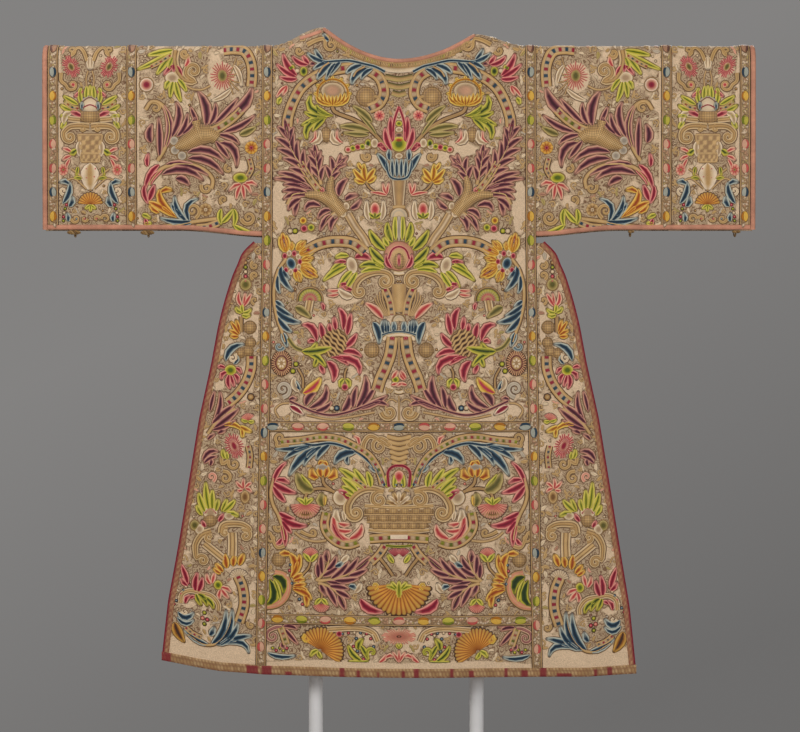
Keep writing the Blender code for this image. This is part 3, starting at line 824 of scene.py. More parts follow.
def lattice(work, left, right, top, bottom, narrow, rows, columns):
    """Basketwork between two levels, drawn in towards the bottom."""
    middle = (left + right) / 2
    half = abs(right - left) / 2
    levels = np.linspace(top, bottom, rows * 4 + 1)
    share = (levels - top) / (bottom - top)
    width = half * (1 + (narrow - 1) * share)
    across = np.linspace(-1, 1, columns * 4 + 1)
    outward = middle + width[:, None] * across
    places = np.stack([outward, np.broadcast_to(levels[:, None], outward.shape)], axis=-1)
    weave = (np.sin(across * columns * math.pi)[None] * np.sin(share * rows * math.pi * 2)[:, None]) > 0
    colours = np.where(weave[..., None], PALE_GOLD, TAN)
    runs = np.concatenate([places, np.full(places.shape[:2] + (1,), BASKET)], axis=-1)
    work.add(places, 0.55 + 0.5 * weave, colours, runs)
    for n in (0, -1):
        cord(work, [places[n, 0], places[n, -1]], 1.1)
        cord(work, [places[0, n], places[len(levels) // 2, n], places[-1, n]], 1.0)


# ---------------------------------------------------------------------------
# Laying the stitching on the cloth
# ---------------------------------------------------------------------------

GRID_TOP_Z = HEM_Z + GRID_TOP * STEP
TUCK = 0.003  # how far the stitching runs in under a galloon or a binding
EMBROIDERY_LOW_Z = HEM_Z + HEM_BRAID + 0.011  # a bare strip of silk shows above the hem braid
OUTER_GALLOON_X = SLEEVE_END_X - BINDING - SEAM_GAP - GALLOON
NOT_MOVED = 1e-6  # metres: a place that its area's edge has moved by less lies inside
LEAST_AREA = 1e-13  # a face with less has been pressed flat against an edge


def keep_body(x, z):
    half = seam_x(z) - GALLOON / 2 + TUCK
    x = np.clip(x, -half, half)
    top = np.where(np.abs(x) < NECK_HALF, neck_z(x) - BINDING + TUCK, fold_z(x))
    return x, np.clip(z, EMBROIDERY_LOW_Z, top)


def keep_gore(x, z):
    z = np.clip(z, EMBROIDERY_LOW_Z, GORE_TOP_Z - 0.004)
    reach = np.clip(np.abs(x), seam_x(z) + GALLOON / 2 - TUCK, table_column(GORE_EDGE, z) - BRAID + TUCK)
    return np.copysign(reach, x), z


def keep_sleeve(x, z):
    reach = np.clip(np.abs(x), seam_x(z) + GALLOON / 2 - TUCK, CUFF_SEAM_X - GALLOON / 2 + TUCK)
    x = np.copysign(reach, x)
    return x, np.clip(z, underside_z(x) + BINDING - TUCK, fold_z(x))


def keep_cuff(x, z):
    x = np.copysign(np.clip(np.abs(x), CUFF_SEAM_X + GALLOON / 2 - TUCK, OUTER_GALLOON_X + TUCK), x)
    return x, np.clip(z, underside_z(x) + BINDING - TUCK, fold_z(x))


def keep_all(x, z):
    return x, np.minimum(z, fold_z(x))


def mesh_piece(name, points, quads, material, thread_colours=None, runs=None, bare=None):
    """A mesh piece on the frame's one body."""
    mesh = bpy.data.meshes.new(name)
    mesh.vertices.add(len(points))
    mesh.vertices.foreach_set("co", np.ascontiguousarray(points, np.float32).ravel())
    mesh.loops.add(quads.size)
    mesh.loops.foreach_set("vertex_index", np.ascontiguousarray(quads, np.int32).ravel())
    mesh.polygons.add(len(quads))
    mesh.polygons.foreach_set("loop_start", np.arange(0, quads.size, 4, dtype=np.int32))
    mesh.polygons.foreach_set("loop_total", np.full(len(quads), 4, np.int32))
    mesh.update(calc_edges=True)
    if thread_colours is not None:
        made = mesh.attributes.new("thread", "FLOAT_COLOR", "POINT")
        rgba = np.concatenate([thread_colours, np.ones((len(points), 1))], axis=1)
        made.data.foreach_set("color", rgba.astype(np.float32).ravel())
    if runs is not None:
        made = mesh.attributes.new("stitch", "FLOAT_VECTOR", "POINT")
        made.data.foreach_set("vector", runs.astype(np.float32).ravel())
    if bare is not None:
        made = mesh.attributes.new("bare", "FLOAT", "POINT")
        made.data.foreach_set("value", bare.astype(np.float32).ravel())
    mesh.validate()
    mesh.shade_smooth()
    mesh.materials.append(material)
    obj = bpy.data.objects.new(name, mesh)
    bpy.context.scene.collection.objects.link(obj)
    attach(obj, "root")
    return obj


def grid_quads(rows, columns, start=0):
    index = start + np.arange(rows * columns).reshape(rows, columns)
    return np.stack([index[:-1, :-1], index[:-1, 1:], index[1:, 1:], index[1:, :-1]], axis=-1).reshape(-1, 4)


def lay(name, side, works, keep, material):
    """Lays works, each with its hand's sign, on one side of the garment as one piece."""
    places, heights, colours, runs, quads = [], [], [], [], []
    start = 0
    for work, sign in works:
        for sheet_places, sheet_heights, sheet_colours, sheet_runs in work.sheets:
            rows, columns = sheet_heights.shape
            places.append(sheet_places.reshape(-1, 2) * (sign, 1.0))
            heights.append(sheet_heights.ravel())
            colours.append(sheet_colours.reshape(-1, 3))
            runs.append(sheet_runs.reshape(-1, 3))
            quads.append(grid_quads(rows, columns, start))
            start += rows * columns
    places, heights, quads = np.concatenate(places), np.concatenate(heights), np.concatenate(quads)
    wanted_x, wanted_z = places[:, 0] * STEP, GRID_TOP_Z - places[:, 1] * STEP
    x, z = keep(wanted_x, wanted_z)
    moved = (np.abs(x - wanted_x) > NOT_MOVED) | (np.abs(z - wanted_z) > NOT_MOVED)
    quads = quads[~moved[quads].all(axis=1)]
    flat = np.stack([x, z], axis=1)
    first, second = flat[quads[:, 2]] - flat[quads[:, 0]], flat[quads[:, 3]] - flat[quads[:, 1]]
    turn = (first[:, 0] * second[:, 1] - first[:, 1] * second[:, 0]) * -SIDES[side]
    whole = np.abs(turn) > LEAST_AREA
    quads, turn = quads[whole], turn[whole]
    quads[turn < 0] = quads[turn < 0][:, ::-1]
    used, quads = np.unique(quads, return_inverse=True)
    quads = quads.reshape(-1, 4)
    points = on_cloth(side, x[used], z[used], SKIN + heights[used] * MM)
    tints, runs = np.concatenate(colours)[used], np.concatenate(runs)[used]
    return mesh_piece(name, points, quads, material, tints, runs)


# ---------------------------------------------------------------------------
# Thin cloth shells on the panels
# ---------------------------------------------------------------------------

SHELL_STEP = 0.0084
ARC_STEPS = 6
GORE_COLUMNS = 22
UNDER_NECK_ROWS = 6  # from the fold down to the level where the grid is even
BARE = (  # where the silk shows unworked: steps across and down, and half the width and height
    (160, 166, 8, 5), (257, 104, 4, 6), (177, 77, 13, 14), (172, 200, 12, 4), (263, 130, 2.6, 80),
    (150, 110, 5, 6), (121, 207, 7, 25), (57, 149, 20, 7), (97, 237, 14, 5), (51, 119, 12, 5),
    (35, 160, 16, 5), (124, 262, 5, 14), (67, 271, 11, 5), (58, 298, 22, 5), (88, 320, 14, 4),
    (144, 317, 3, 28), (118, 409, 11, 6), (75, 418, 26, 3), (68, 385, 9, 4), (163, 444, 9, 9),
    (180, 385, 4, 5), (147, 604, 3.4, 22), (165, 664, 27, 13), (207, 663, 30, 15), (60, 669, 82, 7),
    (212, 612, 7, 4), (342, 120, 4, 70), (90, 434, 30, 3),
)
BARE_REACH, BARE_BLUR = 1.35, 0.6  # shares of a patch's half width: how far it goes, and how soft its rim is


def bareness(across, down):
    """How bare the silk is at a place in steps, 0 to 1."""
    found = np.zeros_like(np.asarray(across, float))
    for middle, level, wide, high in BARE:
        reach = np.hypot((across - middle) / wide, (down - level) / high)
        found = np.maximum(found, np.clip((BARE_REACH - reach) / BARE_BLUR, 0, 1))
    return found


def spread(start, end, spacing=SHELL_STEP):
    return np.linspace(start, end, max(2, int(math.ceil(abs(end - start) / spacing)) + 1))


def fold_levels(x):
    """Levels over the quarter circle of the fold at each x, top first."""
    turn = np.linspace(0, math.pi / 2, ARC_STEPS + 1)[:, None]
    return fold_z(x)[None] - FOLD_RADIUS * (1 - np.cos(turn))


def body_places():
    """Places across and nominal levels of the body panel's grid."""
    half = SEAM_TOP_X - SEAM_GAP / 2
    across = spread(-half, half)
    inside = np.abs(across) < NECK_HALF - 0.001
    arc = fold_levels(across)
    below = spread(COMMON_Z, HEM_Z)[1:]
    share = np.linspace(0, 1, UNDER_NECK_ROWS + 1)[1:, None]
    upper = np.concatenate([arc, arc[-1] + (COMMON_Z - arc[-1]) * share])
    top = neck_z(across)
    under_neck = top + (COMMON_Z - top) * np.linspace(0, 1, len(upper))[:, None]
    upper = np.where(inside[None], under_neck, upper)
    levels = np.concatenate([upper, np.broadcast_to(below[:, None], (len(below), len(across)))])
    widths = (seam_x(levels) - SEAM_GAP / 2) / half
    return across[None] * widths, levels


def sleeve_places(start, end, sign):
    across = sign * spread(start, end)
    arc = fold_levels(across)
    share = np.linspace(0, 1, int((COMMON_Z + 0.05 - UNDERARM_Z) / SHELL_STEP))[1:, None]
    levels = np.concatenate([arc, arc[-1] + (underside_z(across) - arc[-1]) * share])
    return np.broadcast_to(across[None], levels.shape), levels


def gore_places(sign):
    levels = spread(GORE_TOP_Z, HEM_Z)[:, None]
    inner, outer = seam_x(levels) + SEAM_GAP / 2, table_column(GORE_EDGE, levels)
    across = sign * (inner + (outer - inner) * np.linspace(0, 1, GORE_COLUMNS))
    return across, np.broadcast_to(levels, across.shape)


def shell(name, side, across, levels):
    """A closed slab of cloth, whose rim shows its thickness."""
    rows, columns = across.shape
    inner = on_cloth(side, across, levels, np.zeros_like(across)).reshape(-1, 3)
    outer = on_cloth(side, across, levels, np.full_like(across, WALL)).reshape(-1, 3)
    quads = grid_quads(rows, columns)
    turn = np.cross(outer[quads[:, 2]] - outer[quads[:, 0]], outer[quads[:, 3]] - outer[quads[:, 1]])
    if (turn[:, 1] * SIDES[side] + np.maximum(turn[:, 2], 0)).sum() < 0:
        quads = quads[:, ::-1]
    count = rows * columns
    index = np.arange(count).reshape(rows, columns)
    rim = np.concatenate([index[0], index[1:, -1], index[-1, -2::-1], index[-2:0:-1, 0]])
    after = np.roll(rim, -1)
    sides = np.stack([rim, after, after + count, rim + count], axis=-1)
    middle = outer[rim].mean(axis=0)
    face = np.cross(outer[after[0]] - outer[rim[0]], inner[rim[0]] - outer[rim[0]])
    if face @ (outer[rim[0]] - middle) < 0:
        sides = sides[:, ::-1]
    quads = np.concatenate([quads, quads[:, ::-1] + count, sides])
    bare = np.tile(bareness(np.abs(across) / STEP, (GRID_TOP_Z - levels) / STEP).ravel(), 2)
    obj = mesh_piece(name, np.concatenate([outer, inner]), quads, GROUND, bare=bare)
    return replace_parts(obj, name.replace("cloth_", ""))


# ---------------------------------------------------------------------------
# Filling between the motifs
# ---------------------------------------------------------------------------

FILL_TONES = (
    "gold", "ivory", "ivory", "gold", "ivory", "moss", "ivory", "gold",
    "grey", "ivory", "gold", "pink", "ivory", "gold", "ivory", "dusky",
)
FILL_PITCH = 6.8
FILL_SHIFT = 2.2  # how far a spot is moved off its even place
FILL_SHARE = 0.95  # of its room that a filling takes
LARGEST_FILLING = 10.0
TAKEN_HEIGHT = 0.3  # mm: what lies higher takes up room
FREE_ROOM, MOST_ROOM = 2.6, 13.0  # what a spot needs at first, and what it may claim
LEAST_ROOM, LEAF_ROOM, CURL_ROOM, SPRIG_ROOM = 2.2, 3.0, 3.9, 8.0  # below LEAF_ROOM a spot gets a bead
FINE_TAN = BROWN * 0.45 + TAN * 0.55
FINE_GOLD = PALE_GOLD * 0.9
FINE_CORD = mirrored([(-1, -0.25, 0.1, FINE_TAN), (-0.4, 0, 0.75, FINE_GOLD), (0, 0, 0.8, FINE_GOLD)])


def fine_curl(work, centre, radius, start, hand, tail=()):
    points = list(tail) + list(spiral(centre, radius, 1.15, start, hand)[::2])
    band(work, points, 0.75, FINE_CORD, spacing=max(1.3, radius * 0.3))


def any_tones(rng):
    return TONES[FILL_TONES[rng.integers(len(FILL_TONES))]]


def fill_spot(work, spot, room, rng):
    """A bead, a leaf, a curl or a sprig, whatever there is room for. Gives the radius that it takes up."""
    tones = any_tones(rng)
    turn = rng.uniform(0, 360)
    way = turned_by(np.array([0.0, -1.0]), turn)
    aside = turned_by(way, 90)
    size = room * FILL_SHARE
    if room < LEAF_ROOM:
        bead(work, spot, room * 0.42, tones)
        return room * 0.8
    if room < CURL_ROOM:
        foot, tip = spot - way * size * 0.8, spot + way * size * 0.8
        petal(work, foot, spot + aside * size * 0.5, tip, size * 0.26, tones)
    elif room < SPRIG_ROOM:
        fine_curl(work, spot + way * size * 0.15, size * 0.72, turn, 1 if rng.random() < 0.5 else -1)
        for end in (-1, 1):
            bend = spot - way * size * 0.6 + aside * end * size * 0.2
            tip = spot - way * size * 0.5 + aside * end * size * 0.8
            petal(work, spot - way * size * 0.3, bend, tip, size * 0.15, tones)
    else:
        size = min(size, LARGEST_FILLING)
        fine_curl(work, spot, size * 0.5, turn, 1, [spot - way * size * 0.2 + aside * size * 0.9])
        for k in range(4):
            far = turned_by(way, 60 + k * 66)
            bend, tip = spot + turned_by(far, 20) * size * 0.75, spot + turned_by(far, 42) * size
            petal(work, spot + far * size * 0.42, bend, tip, size * 0.15, any_tones(rng))
    return size


def taken_places(work):
    """The raised places of a drawing, and those between its rows, to the nearest step."""
    raised = []
    for places, heights, _, _ in work.sheets:
        high = heights > TAKEN_HEIGHT
        raised.append(places[high])
        for share in (0.25, 0.5, 0.75):
            between = places[1:] * share + places[:-1] * (1 - share)
            raised.append(between[high[1:] & high[:-1]])
    raised = np.unique(np.round(np.concatenate(raised)), axis=0)
    taken = KDTree(len(raised))
    for place in raised:
        taken.insert((*place, 0.0), 0)
    taken.balance()
    return taken


def fill(work, keep, area, seed):
    """Fills what the motifs leave free of an area: its left, right, top and bottom."""
    rng = np.random.default_rng(seed)
    taken = taken_places(work)
    left, right, top, bottom = area
    rooms = []
    for down in np.arange(top, bottom, FILL_PITCH):
        for across in np.arange(left, right, FILL_PITCH):
            spot = np.array([across, down]) + rng.uniform(-FILL_SHIFT, FILL_SHIFT, 2)
            wanted_x, wanted_z = spot[0] * STEP, GRID_TOP_Z - spot[1] * STEP
            x, z = keep(np.array([wanted_x]), np.array([wanted_z]))
            inside = abs(x[0] - wanted_x) < NOT_MOVED and abs(z[0] - wanted_z) < NOT_MOVED
            room = taken.find((*spot, 0.0))[2]
            if inside and room > FREE_ROOM and spot[0] > 1.0 and bareness(*spot) < 0.4:
                rooms.append((min(room, MOST_ROOM), *spot))
    places, sizes = [], []
    for room, across, down in sorted(rooms, reverse=True):
        spot = np.array([across, down])
        if places:
            room = min(room, (np.linalg.norm(np.array(places) - spot, axis=1) - np.array(sizes)).min())
        if room >= LEAST_ROOM:
            sizes.append(fill_spot(work, spot, room, rng))
            places.append(spot)


# ---------------------------------------------------------------------------
# Materials
# ---------------------------------------------------------------------------


class Nodes:
    """A new material's node tree, with short calls to fill it."""

    def __init__(self, name):
        self.material = bpy.data.materials.new(name)
        self.material.use_nodes = True
        self.tree = self.material.node_tree
        self.shader = self.tree.nodes["Principled BSDF"]

    def add(self, kind, inputs=(), **settings):
        node = self.tree.nodes.new("ShaderNode" + kind)
        for key, value in settings.items():
            setattr(node, key, value)
        for key, value in dict(inputs).items():
            self.put(node.inputs[key], value)
        return node

    def put(self, socket, value):
        if isinstance(value, bpy.types.NodeSocket):
            self.tree.links.new(value, socket)
        else:
            socket.default_value = value

    def math(self, operation, first, second=0.0):
        node = self.add("Math", operation=operation)
        self.put(node.inputs[0], first)
        self.put(node.inputs[1], second)
        return node.outputs[0]

    def half_up(self, value):
        """A wave from -1 to 1 as a share from 0 to 1."""
        return self.math("ADD", self.math("MULTIPLY", value, 0.5), 0.5)

    def mix(self, share, first, second, blend="MIX"):
        node = self.add("Mix", data_type="RGBA", blend_type=blend)
        self.put(node.inputs[0], share)
        self.put(node.inputs[6], first)
        self.put(node.inputs[7], second)
        return node.outputs[2]

    def noise(self, scale, detail, vector, rough=0.5):
        inputs = {"Scale": scale, "Detail": detail, "Roughness": rough, "Vector": vector}
        return self.add("TexNoise", inputs).outputs["Fac"]

    def wave(self, direction, vector, **inputs):
        inputs = {name.replace("_", " "): value for name, value in inputs.items()} | {"Vector": vector}
        return self.add("TexWave", inputs, bands_direction=direction).outputs["Fac"]

    def place(self):
        return self.add("TexCoord").outputs["Object"]

    def ramp(self, share, *stops):
        """Colours or greys along a share: place, colour."""
        node = self.add("ValToRGB", {"Fac": share})
        bar = node.color_ramp.elements
        while len(bar) < len(stops):
            bar.new(0.5)
        for mark, (place, colour) in zip(bar, stops):
            mark.position = place
            mark.color = (*colour, 1.0) if hasattr(colour, "__len__") else (colour, colour, colour, 1.0)
        return node.outputs["Color"]

    def bump(self, height, strength, distance):
        node = self.add("Bump", {"Height": height, "Strength": strength, "Distance": distance})
        self.put(self.shader.inputs["Normal"], node.outputs["Normal"])

    def finish(self, colour, **sockets):
        self.put(self.shader.inputs["Base Color"], colour)
        for name, value in sockets.items():
            self.put(self.shader.inputs[name.replace("_", " ")], value)
        return self.material


def rgba(colour):
    return (*[float(value) for value in colour], 1.0)


def ground_material():
    """Ivory silk, bare in patches, and elsewhere filled with laid tan thread and fine couched curls."""
    nodes = Nodes("ground_silk")
    place = nodes.place()
    warp = nodes.add("TexNoise", {"Scale": 42.0, "Detail": 2.0, "Vector": place}).outputs["Color"]
    moved = nodes.add("VectorMath", {0: warp, 1: (0.5, 0.5, 0.5)}, operation="SUBTRACT").outputs[0]
    moved = nodes.add("VectorMath", {0: moved, 3: 0.026}, operation="SCALE").outputs[0]
    bent = nodes.add("VectorMath", {0: place, 1: moved}, operation="ADD").outputs[0]
    cells = nodes.add("TexVoronoi", {"Scale": 82.0, "Vector": bent}, feature="F1").outputs["Distance"]
    rings = nodes.math("SINE", nodes.math("MULTIPLY", cells, 21.0))
    curl = nodes.ramp(nodes.half_up(rings), (0.10, 0.0), (0.34, 1.0))
    laid = nodes.wave("Z", bent, Scale=190.0, Distortion=14.0, Detail=2.0, Detail_Scale=1.6)
    rough = nodes.noise(21.0, 3.0, place, 0.6)
    bare = nodes.ramp(rough, (0.53, 0.0), (0.60, 1.0))
    unworked = nodes.add("Attribute", attribute_name="bare").outputs["Fac"]
    unworked = nodes.ramp(
        nodes.math("ADD", nodes.math("MULTIPLY", rough, 0.5), unworked), (0.58, 0.0), (0.72, 1.0),
    )
    bare = nodes.math("MAXIMUM", bare, unworked)
    tint = nodes.ramp(nodes.noise(75.0, 3.0, place), (0.35, 0.0), (0.65, 1.0))
    worked = nodes.mix(tint, rgba(thread(176, 156, 130)), rgba(thread(200, 183, 158)))
    worked = nodes.mix(nodes.math("MULTIPLY", laid, 0.5), worked, rgba(thread(228, 213, 188)))
    worked = nodes.mix(curl, rgba(thread(136, 108, 84)), worked)
    colour = nodes.mix(nodes.math("MULTIPLY", bare, 0.9), worked, rgba(thread(244, 226, 202)))
    fleck = nodes.ramp(nodes.noise(560.0, 2.0, place), (0.36, 0.80), (0.66, 1.10))
    colour = nodes.mix(0.8, colour, fleck, "MULTIPLY")
    height = nodes.math("ADD", nodes.math("MULTIPLY", curl, 0.6), nodes.math("MULTIPLY", laid, 0.4))
    nodes.bump(height, 0.6, 0.0007)
    return nodes.finish(colour, Roughness=0.62, Specular_IOR_Level=0.3)


def stitched_material(name, roughness, metallic, fleck_low=0.80):
    """Dyed or metal thread: its colour is on the mesh, broken up by the run of the stitches."""
    nodes = Nodes(name)
    colour = nodes.add("Attribute", attribute_name="thread").outputs["Color"]
    run = nodes.add("Attribute", attribute_name="stitch").outputs["Vector"]
    along, aside, kind = nodes.add("SeparateXYZ", {0: run}).outputs
    place = nodes.place()
    across, down = nodes.math("MULTIPLY", along, 5.0), nodes.math("MULTIPLY", aside, 1.1)
    streak = nodes.noise(1.0, 2.0, nodes.add("CombineXYZ", {0: across, 1: down}).outputs[0])
    satin = nodes.ramp(streak, (0.34, fleck_low), (0.66, 1.14))
    first = nodes.math("SINE", nodes.math("MULTIPLY", nodes.math("ADD", along, aside), 1.9))
    second = nodes.math("SINE", nodes.math("MULTIPLY", nodes.math("SUBTRACT", along, aside), 1.9))
    diaper = nodes.ramp(nodes.half_up(nodes.math("MULTIPLY", first, second)), (0.36, 0.48), (0.66, 1.16))
    is_net = nodes.math("COMPARE", kind, NET)
    shade = nodes.mix(is_net, satin, diaper)
    colour = nodes.mix(1.0, colour, shade, "MULTIPLY")
    worn = nodes.ramp(nodes.noise(60.0, 3.0, place), (0.30, 0.84), (0.60, 1.08))
    colour = nodes.mix(0.7, colour, worn, "MULTIPLY")
    nodes.bump(streak, 0.35, 0.0004)
    return nodes.finish(colour, Roughness=roughness, Metallic=metallic, Specular_IOR_Level=0.25)


def coat_material():
    """Off-white powder coat, with a fine orange-peel and faint scuffs."""
    nodes = Nodes("powder_coat")
    place = nodes.place()
    scuff = nodes.ramp(nodes.noise(14.0, 4.0, place), (0.35, 0.92), (0.62, 1.0))
    colour = nodes.mix(1.0, rgba(linear(226, 224, 223)), scuff, "MULTIPLY")
    nodes.bump(nodes.noise(900.0, 2.0, place), 0.12, 0.0003)
    rough = nodes.ramp(nodes.noise(30.0, 3.0, place), (0.3, 0.34), (0.7, 0.46))
    return nodes.finish(colour, Roughness=rough)


def jersey_material():
    """Undyed jersey over the padded arms, knitted in fine ribs."""
    nodes = Nodes("arm_jersey")
    rib = nodes.wave("X", nodes.place(), Scale=330.0, Distortion=1.4, Detail=2.0)
    colour = nodes.mix(rib, rgba(linear(192, 186, 176)), rgba(linear(222, 217, 207)))
    nodes.bump(rib, 0.4, 0.0005)
    return nodes.finish(colour, Roughness=0.86)


def floor_material():
    """Matt grey paper."""
    return Nodes("floor_paper").finish(rgba(linear(165, 163, 162)), Roughness=0.9)


GROUND = ground_material()
SILK = stitched_material("silk_stitching", 0.48, 0.0)
METAL = stitched_material("gold_thread", 0.50, 0.12)
SALMON_SILK = stitched_material("salmon_binding", 0.50, 0.0, 0.74)
BRAID_THREAD = stitched_material("braid_thread", 0.58, 0.04, 0.74)


# ---------------------------------------------------------------------------
# Trims
# ---------------------------------------------------------------------------


def steps_of(x, z):
    """Metres to drawing steps."""
    return np.stack([np.asarray(x) / STEP, (GRID_TOP_Z - np.asarray(z)) / STEP], axis=-1)


GALLOON_ROW = 0.005  # metres from one row of points to the next down a trim


def levels_down(x, low):
    """Levels from the top of the fold at x down to a level, close together round the fold."""
    arc = fold_levels(np.array([x]))[:, 0]
    arc[0] -= 1e-5
    return np.concatenate([arc, spread(arc[-1], low, GALLOON_ROW)[1:]])


def strip(work, centre, half, columns):
    """A strip whose rows are level: centre (rows, 2) in steps, and columns as a band has."""
    share, outset, heights, colours = parts_of(columns)
    aside = share * half + outset
    runs = runs_along(distance_along(centre)[:, None], aside, CORD)
    work.add(beside(centre, aside), heights[None], colours[None], runs)


GALLOON_TOP = 1.55  # mm above the start of the stitching
GALLOON_GROUND = thread(190, 168, 136)
GALLOON_COLUMNS = mirrored([
    (-1, 0.00, 0.00, BROWN),
    (-1, 0.05, 1.30, BROWN),
    (-1, 0.55, 1.45, BROWN),
    (-1, 0.90, 1.85, PALE_GOLD),
    (-1, 1.50, 1.80, TAN),
    (-1, 1.75, 1.50, BROWN),
    (-1, 2.15, 1.55, GALLOON_GROUND),
    (0, 0, 1.60, GALLOON_GROUND),
])
GALLOON_FLECKS = (
    (BROWN, BROWN, TAN), (BROWN, CREAM, IVORY), (BROWN, TAN, CREAM), TONES["moss"], (BROWN, PALE_GOLD, IVORY),
    TONES["dusky"], (SHADOW, BROWN, TAN),
)
FIRST_OVAL = 47.0  # steps down
UPRIGHT = (24.1, ("blue", "yellow", "lime", "pink", "pink"))  # steps from oval to oval, and their colours
WAIST = (25.2, ("blue", "pink", "pink", "lime", "yellow"))
LOW = (24.2, ("yellow", "lime", "pink"))
OVAL_HALF, LEVEL_OVAL_HALF = (3.1, 4.9), (3.5, 5.7)
FLECK_PITCH = 0.62
FLECK_SHIFT = 2.4  # how far a fleck may lie from the middle line
GALLOON_SEED = 61
FLECK_RIM = BROWN * 0.6 + GALLOON_GROUND * 0.4


def fleck(work, place, half_way, half, tones, rim=FLECK_RIM):
    """A few stitches of one colour, darker at their rim."""
    aside = turned_by(half_way, 90) / np.linalg.norm(half_way) * half
    thirds = (-1, 0, 1)
    places = [[place + half_way * s + aside * t * (1 - 0.6 * abs(s)) for t in thirds] for s in thirds]
    places = np.array(places)
    heights = np.array([(0.1, 0.3, 0.1), (0.3, 0.9, 0.3), (0.1, 0.3, 0.1)])
    colours = np.where((heights > 0.5)[..., None], tones[2], rim)
    runs = np.zeros((3, 3, 3))
    runs[..., :2] = places - place
    work.add(places, heights, colours, runs)


def oval_flower(work, centre, lean, tones, hand, half):
    """One of the galloon's ovals: pale, with a dark crescent on one side and a slit."""
    dark, middle, pale = TONES[tones]
    body = middle * 0.62 + pale * 0.38 if tones in ("yellow", "lime") else middle * 0.12 + pale * 0.76
    wide, high = half
    body = body * 0.92 + GALLOON_GROUND * 0.05
    for rings in (
        [(0.0, 0.85, body), (0.6, 0.82, body), (1.0, 0.45, body)],
        [(1.0, 0.45, middle), (1.12, 0.35, BROWN), (1.35, 0.05, GALLOON_GROUND)],
    ):
        oval(work, centre, wide, high, tones, lean, 14, rings, outlined=False)
    turn = np.radians(np.linspace(8, 172, 9)) * hand
    arc = np.stack([np.sin(turn) * wide * 0.80, -np.cos(turn) * high * 0.88], axis=1)
    way = turned_by(np.array([0.0, 1.0]), lean)
    arc = np.asarray(centre) + arc[:, :1] * np.array([way[1], -way[0]]) + arc[:, 1:] * way
    shade = [(-1, 0, 0.80, dark), (0, 0, 0.95, dark * 0.6 + middle * 0.4), (1, 0, 0.80, dark)]
    band(work, arc, 1.15, shade, 1.6, taper=lambda share: 0.15 + np.sin(math.pi * share) ** 0.7, kind=SATIN)
    slit = turned_by(way, 24 * hand)
    fleck(work, np.asarray(centre), slit * 2.3, 1.0, (dark, dark, dark), body * 0.6 + dark * 0.4)


def point_at(line, along, distance):
    return np.array([np.interp(distance, along, line[:, n]) for n in (0, 1)])


def galloon(name, node, side, line, sign, pattern=UPRIGHT):
    """A galloon along a line, in steps, with ovals and small fleurons on its gold ground."""
    work, flowers = Work(), Work()
    rng = np.random.default_rng(GALLOON_SEED)
    strip(work, line, GALLOON / 2 / STEP, GALLOON_COLUMNS)
    along = distance_along(line)
    pitch, cycle = pattern
    upright = pattern is UPRIGHT
    half = OVAL_HALF if upright else LEVEL_OVAL_HALF
    if upright:
        start = np.interp(FIRST_OVAL, line[:, 1], along)
        count = int((along[-1] - start - half[1]) / pitch) + 1
    else:
        count = int(along[-1] / pitch / 2) * 2 + 1
        start = along[-1] / 2 - count // 2 * pitch
    for n in range(count):
        centre = point_at(line, along, start + n * pitch)
        ahead = point_at(line, along, start + n * pitch + 1) - centre
        lean = math.degrees(math.atan2(-ahead[0], ahead[1])) + 4 * math.sin(2.3 * n)
        tones = "dusky" if upright and n == 0 else cycle[(n - upright) % len(cycle)]
        hand = 1 if math.sin(5.1 * n + 1) > 0 else -1
        oval_flower(flowers, centre, lean, tones, hand, half)
    clear = half[1] + 0.4
    for distance in np.arange(0.8, along[-1] - 0.8, FLECK_PITCH):
        nearest = start + np.clip(round((distance - start) / pitch), 0, count - 1) * pitch
        if abs(distance - nearest) < clear:
            continue
        place = point_at(line, along, distance) + rng.uniform(-FLECK_SHIFT, FLECK_SHIFT, 2)
        tip = turned_by(np.array([0.0, 1.0]), rng.uniform(0, 360)) * rng.uniform(1.1, 2.2)
        fleck(flowers, place, tip * 1.2, 1.7, GALLOON_FLECKS[rng.integers(len(GALLOON_FLECKS))])
    both = Work()
    both.copy_of(work)
    both.copy_of(flowers, lift=GALLOON_TOP)
    obj = lay(name, side, [(both, sign)], keep_all, METAL)
    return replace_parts(obj, node)


BINDING_ROUND = np.array([-1.0, -0.96, -0.62, -0.2, 0.25, 0.66, 0.96, 1.0])  # shares of its half width
BINDING_HEIGHTS = np.array([-0.1, 0.55, 1.15, 1.30, 1.22, 1.05, 0.50, -0.1])  # mm
# painted shade across the fold's round: the colour darkens towards both edges and is lightest at the crown,
# as light would fall on it
BINDING_PAINTED_SHADE = np.array([0.70, 0.82, 1.0, 1.06, 1.0, 0.92, 0.78, 0.70])
BINDING_ROW = 2.2  # steps
RIPPLE_ROWS = 5


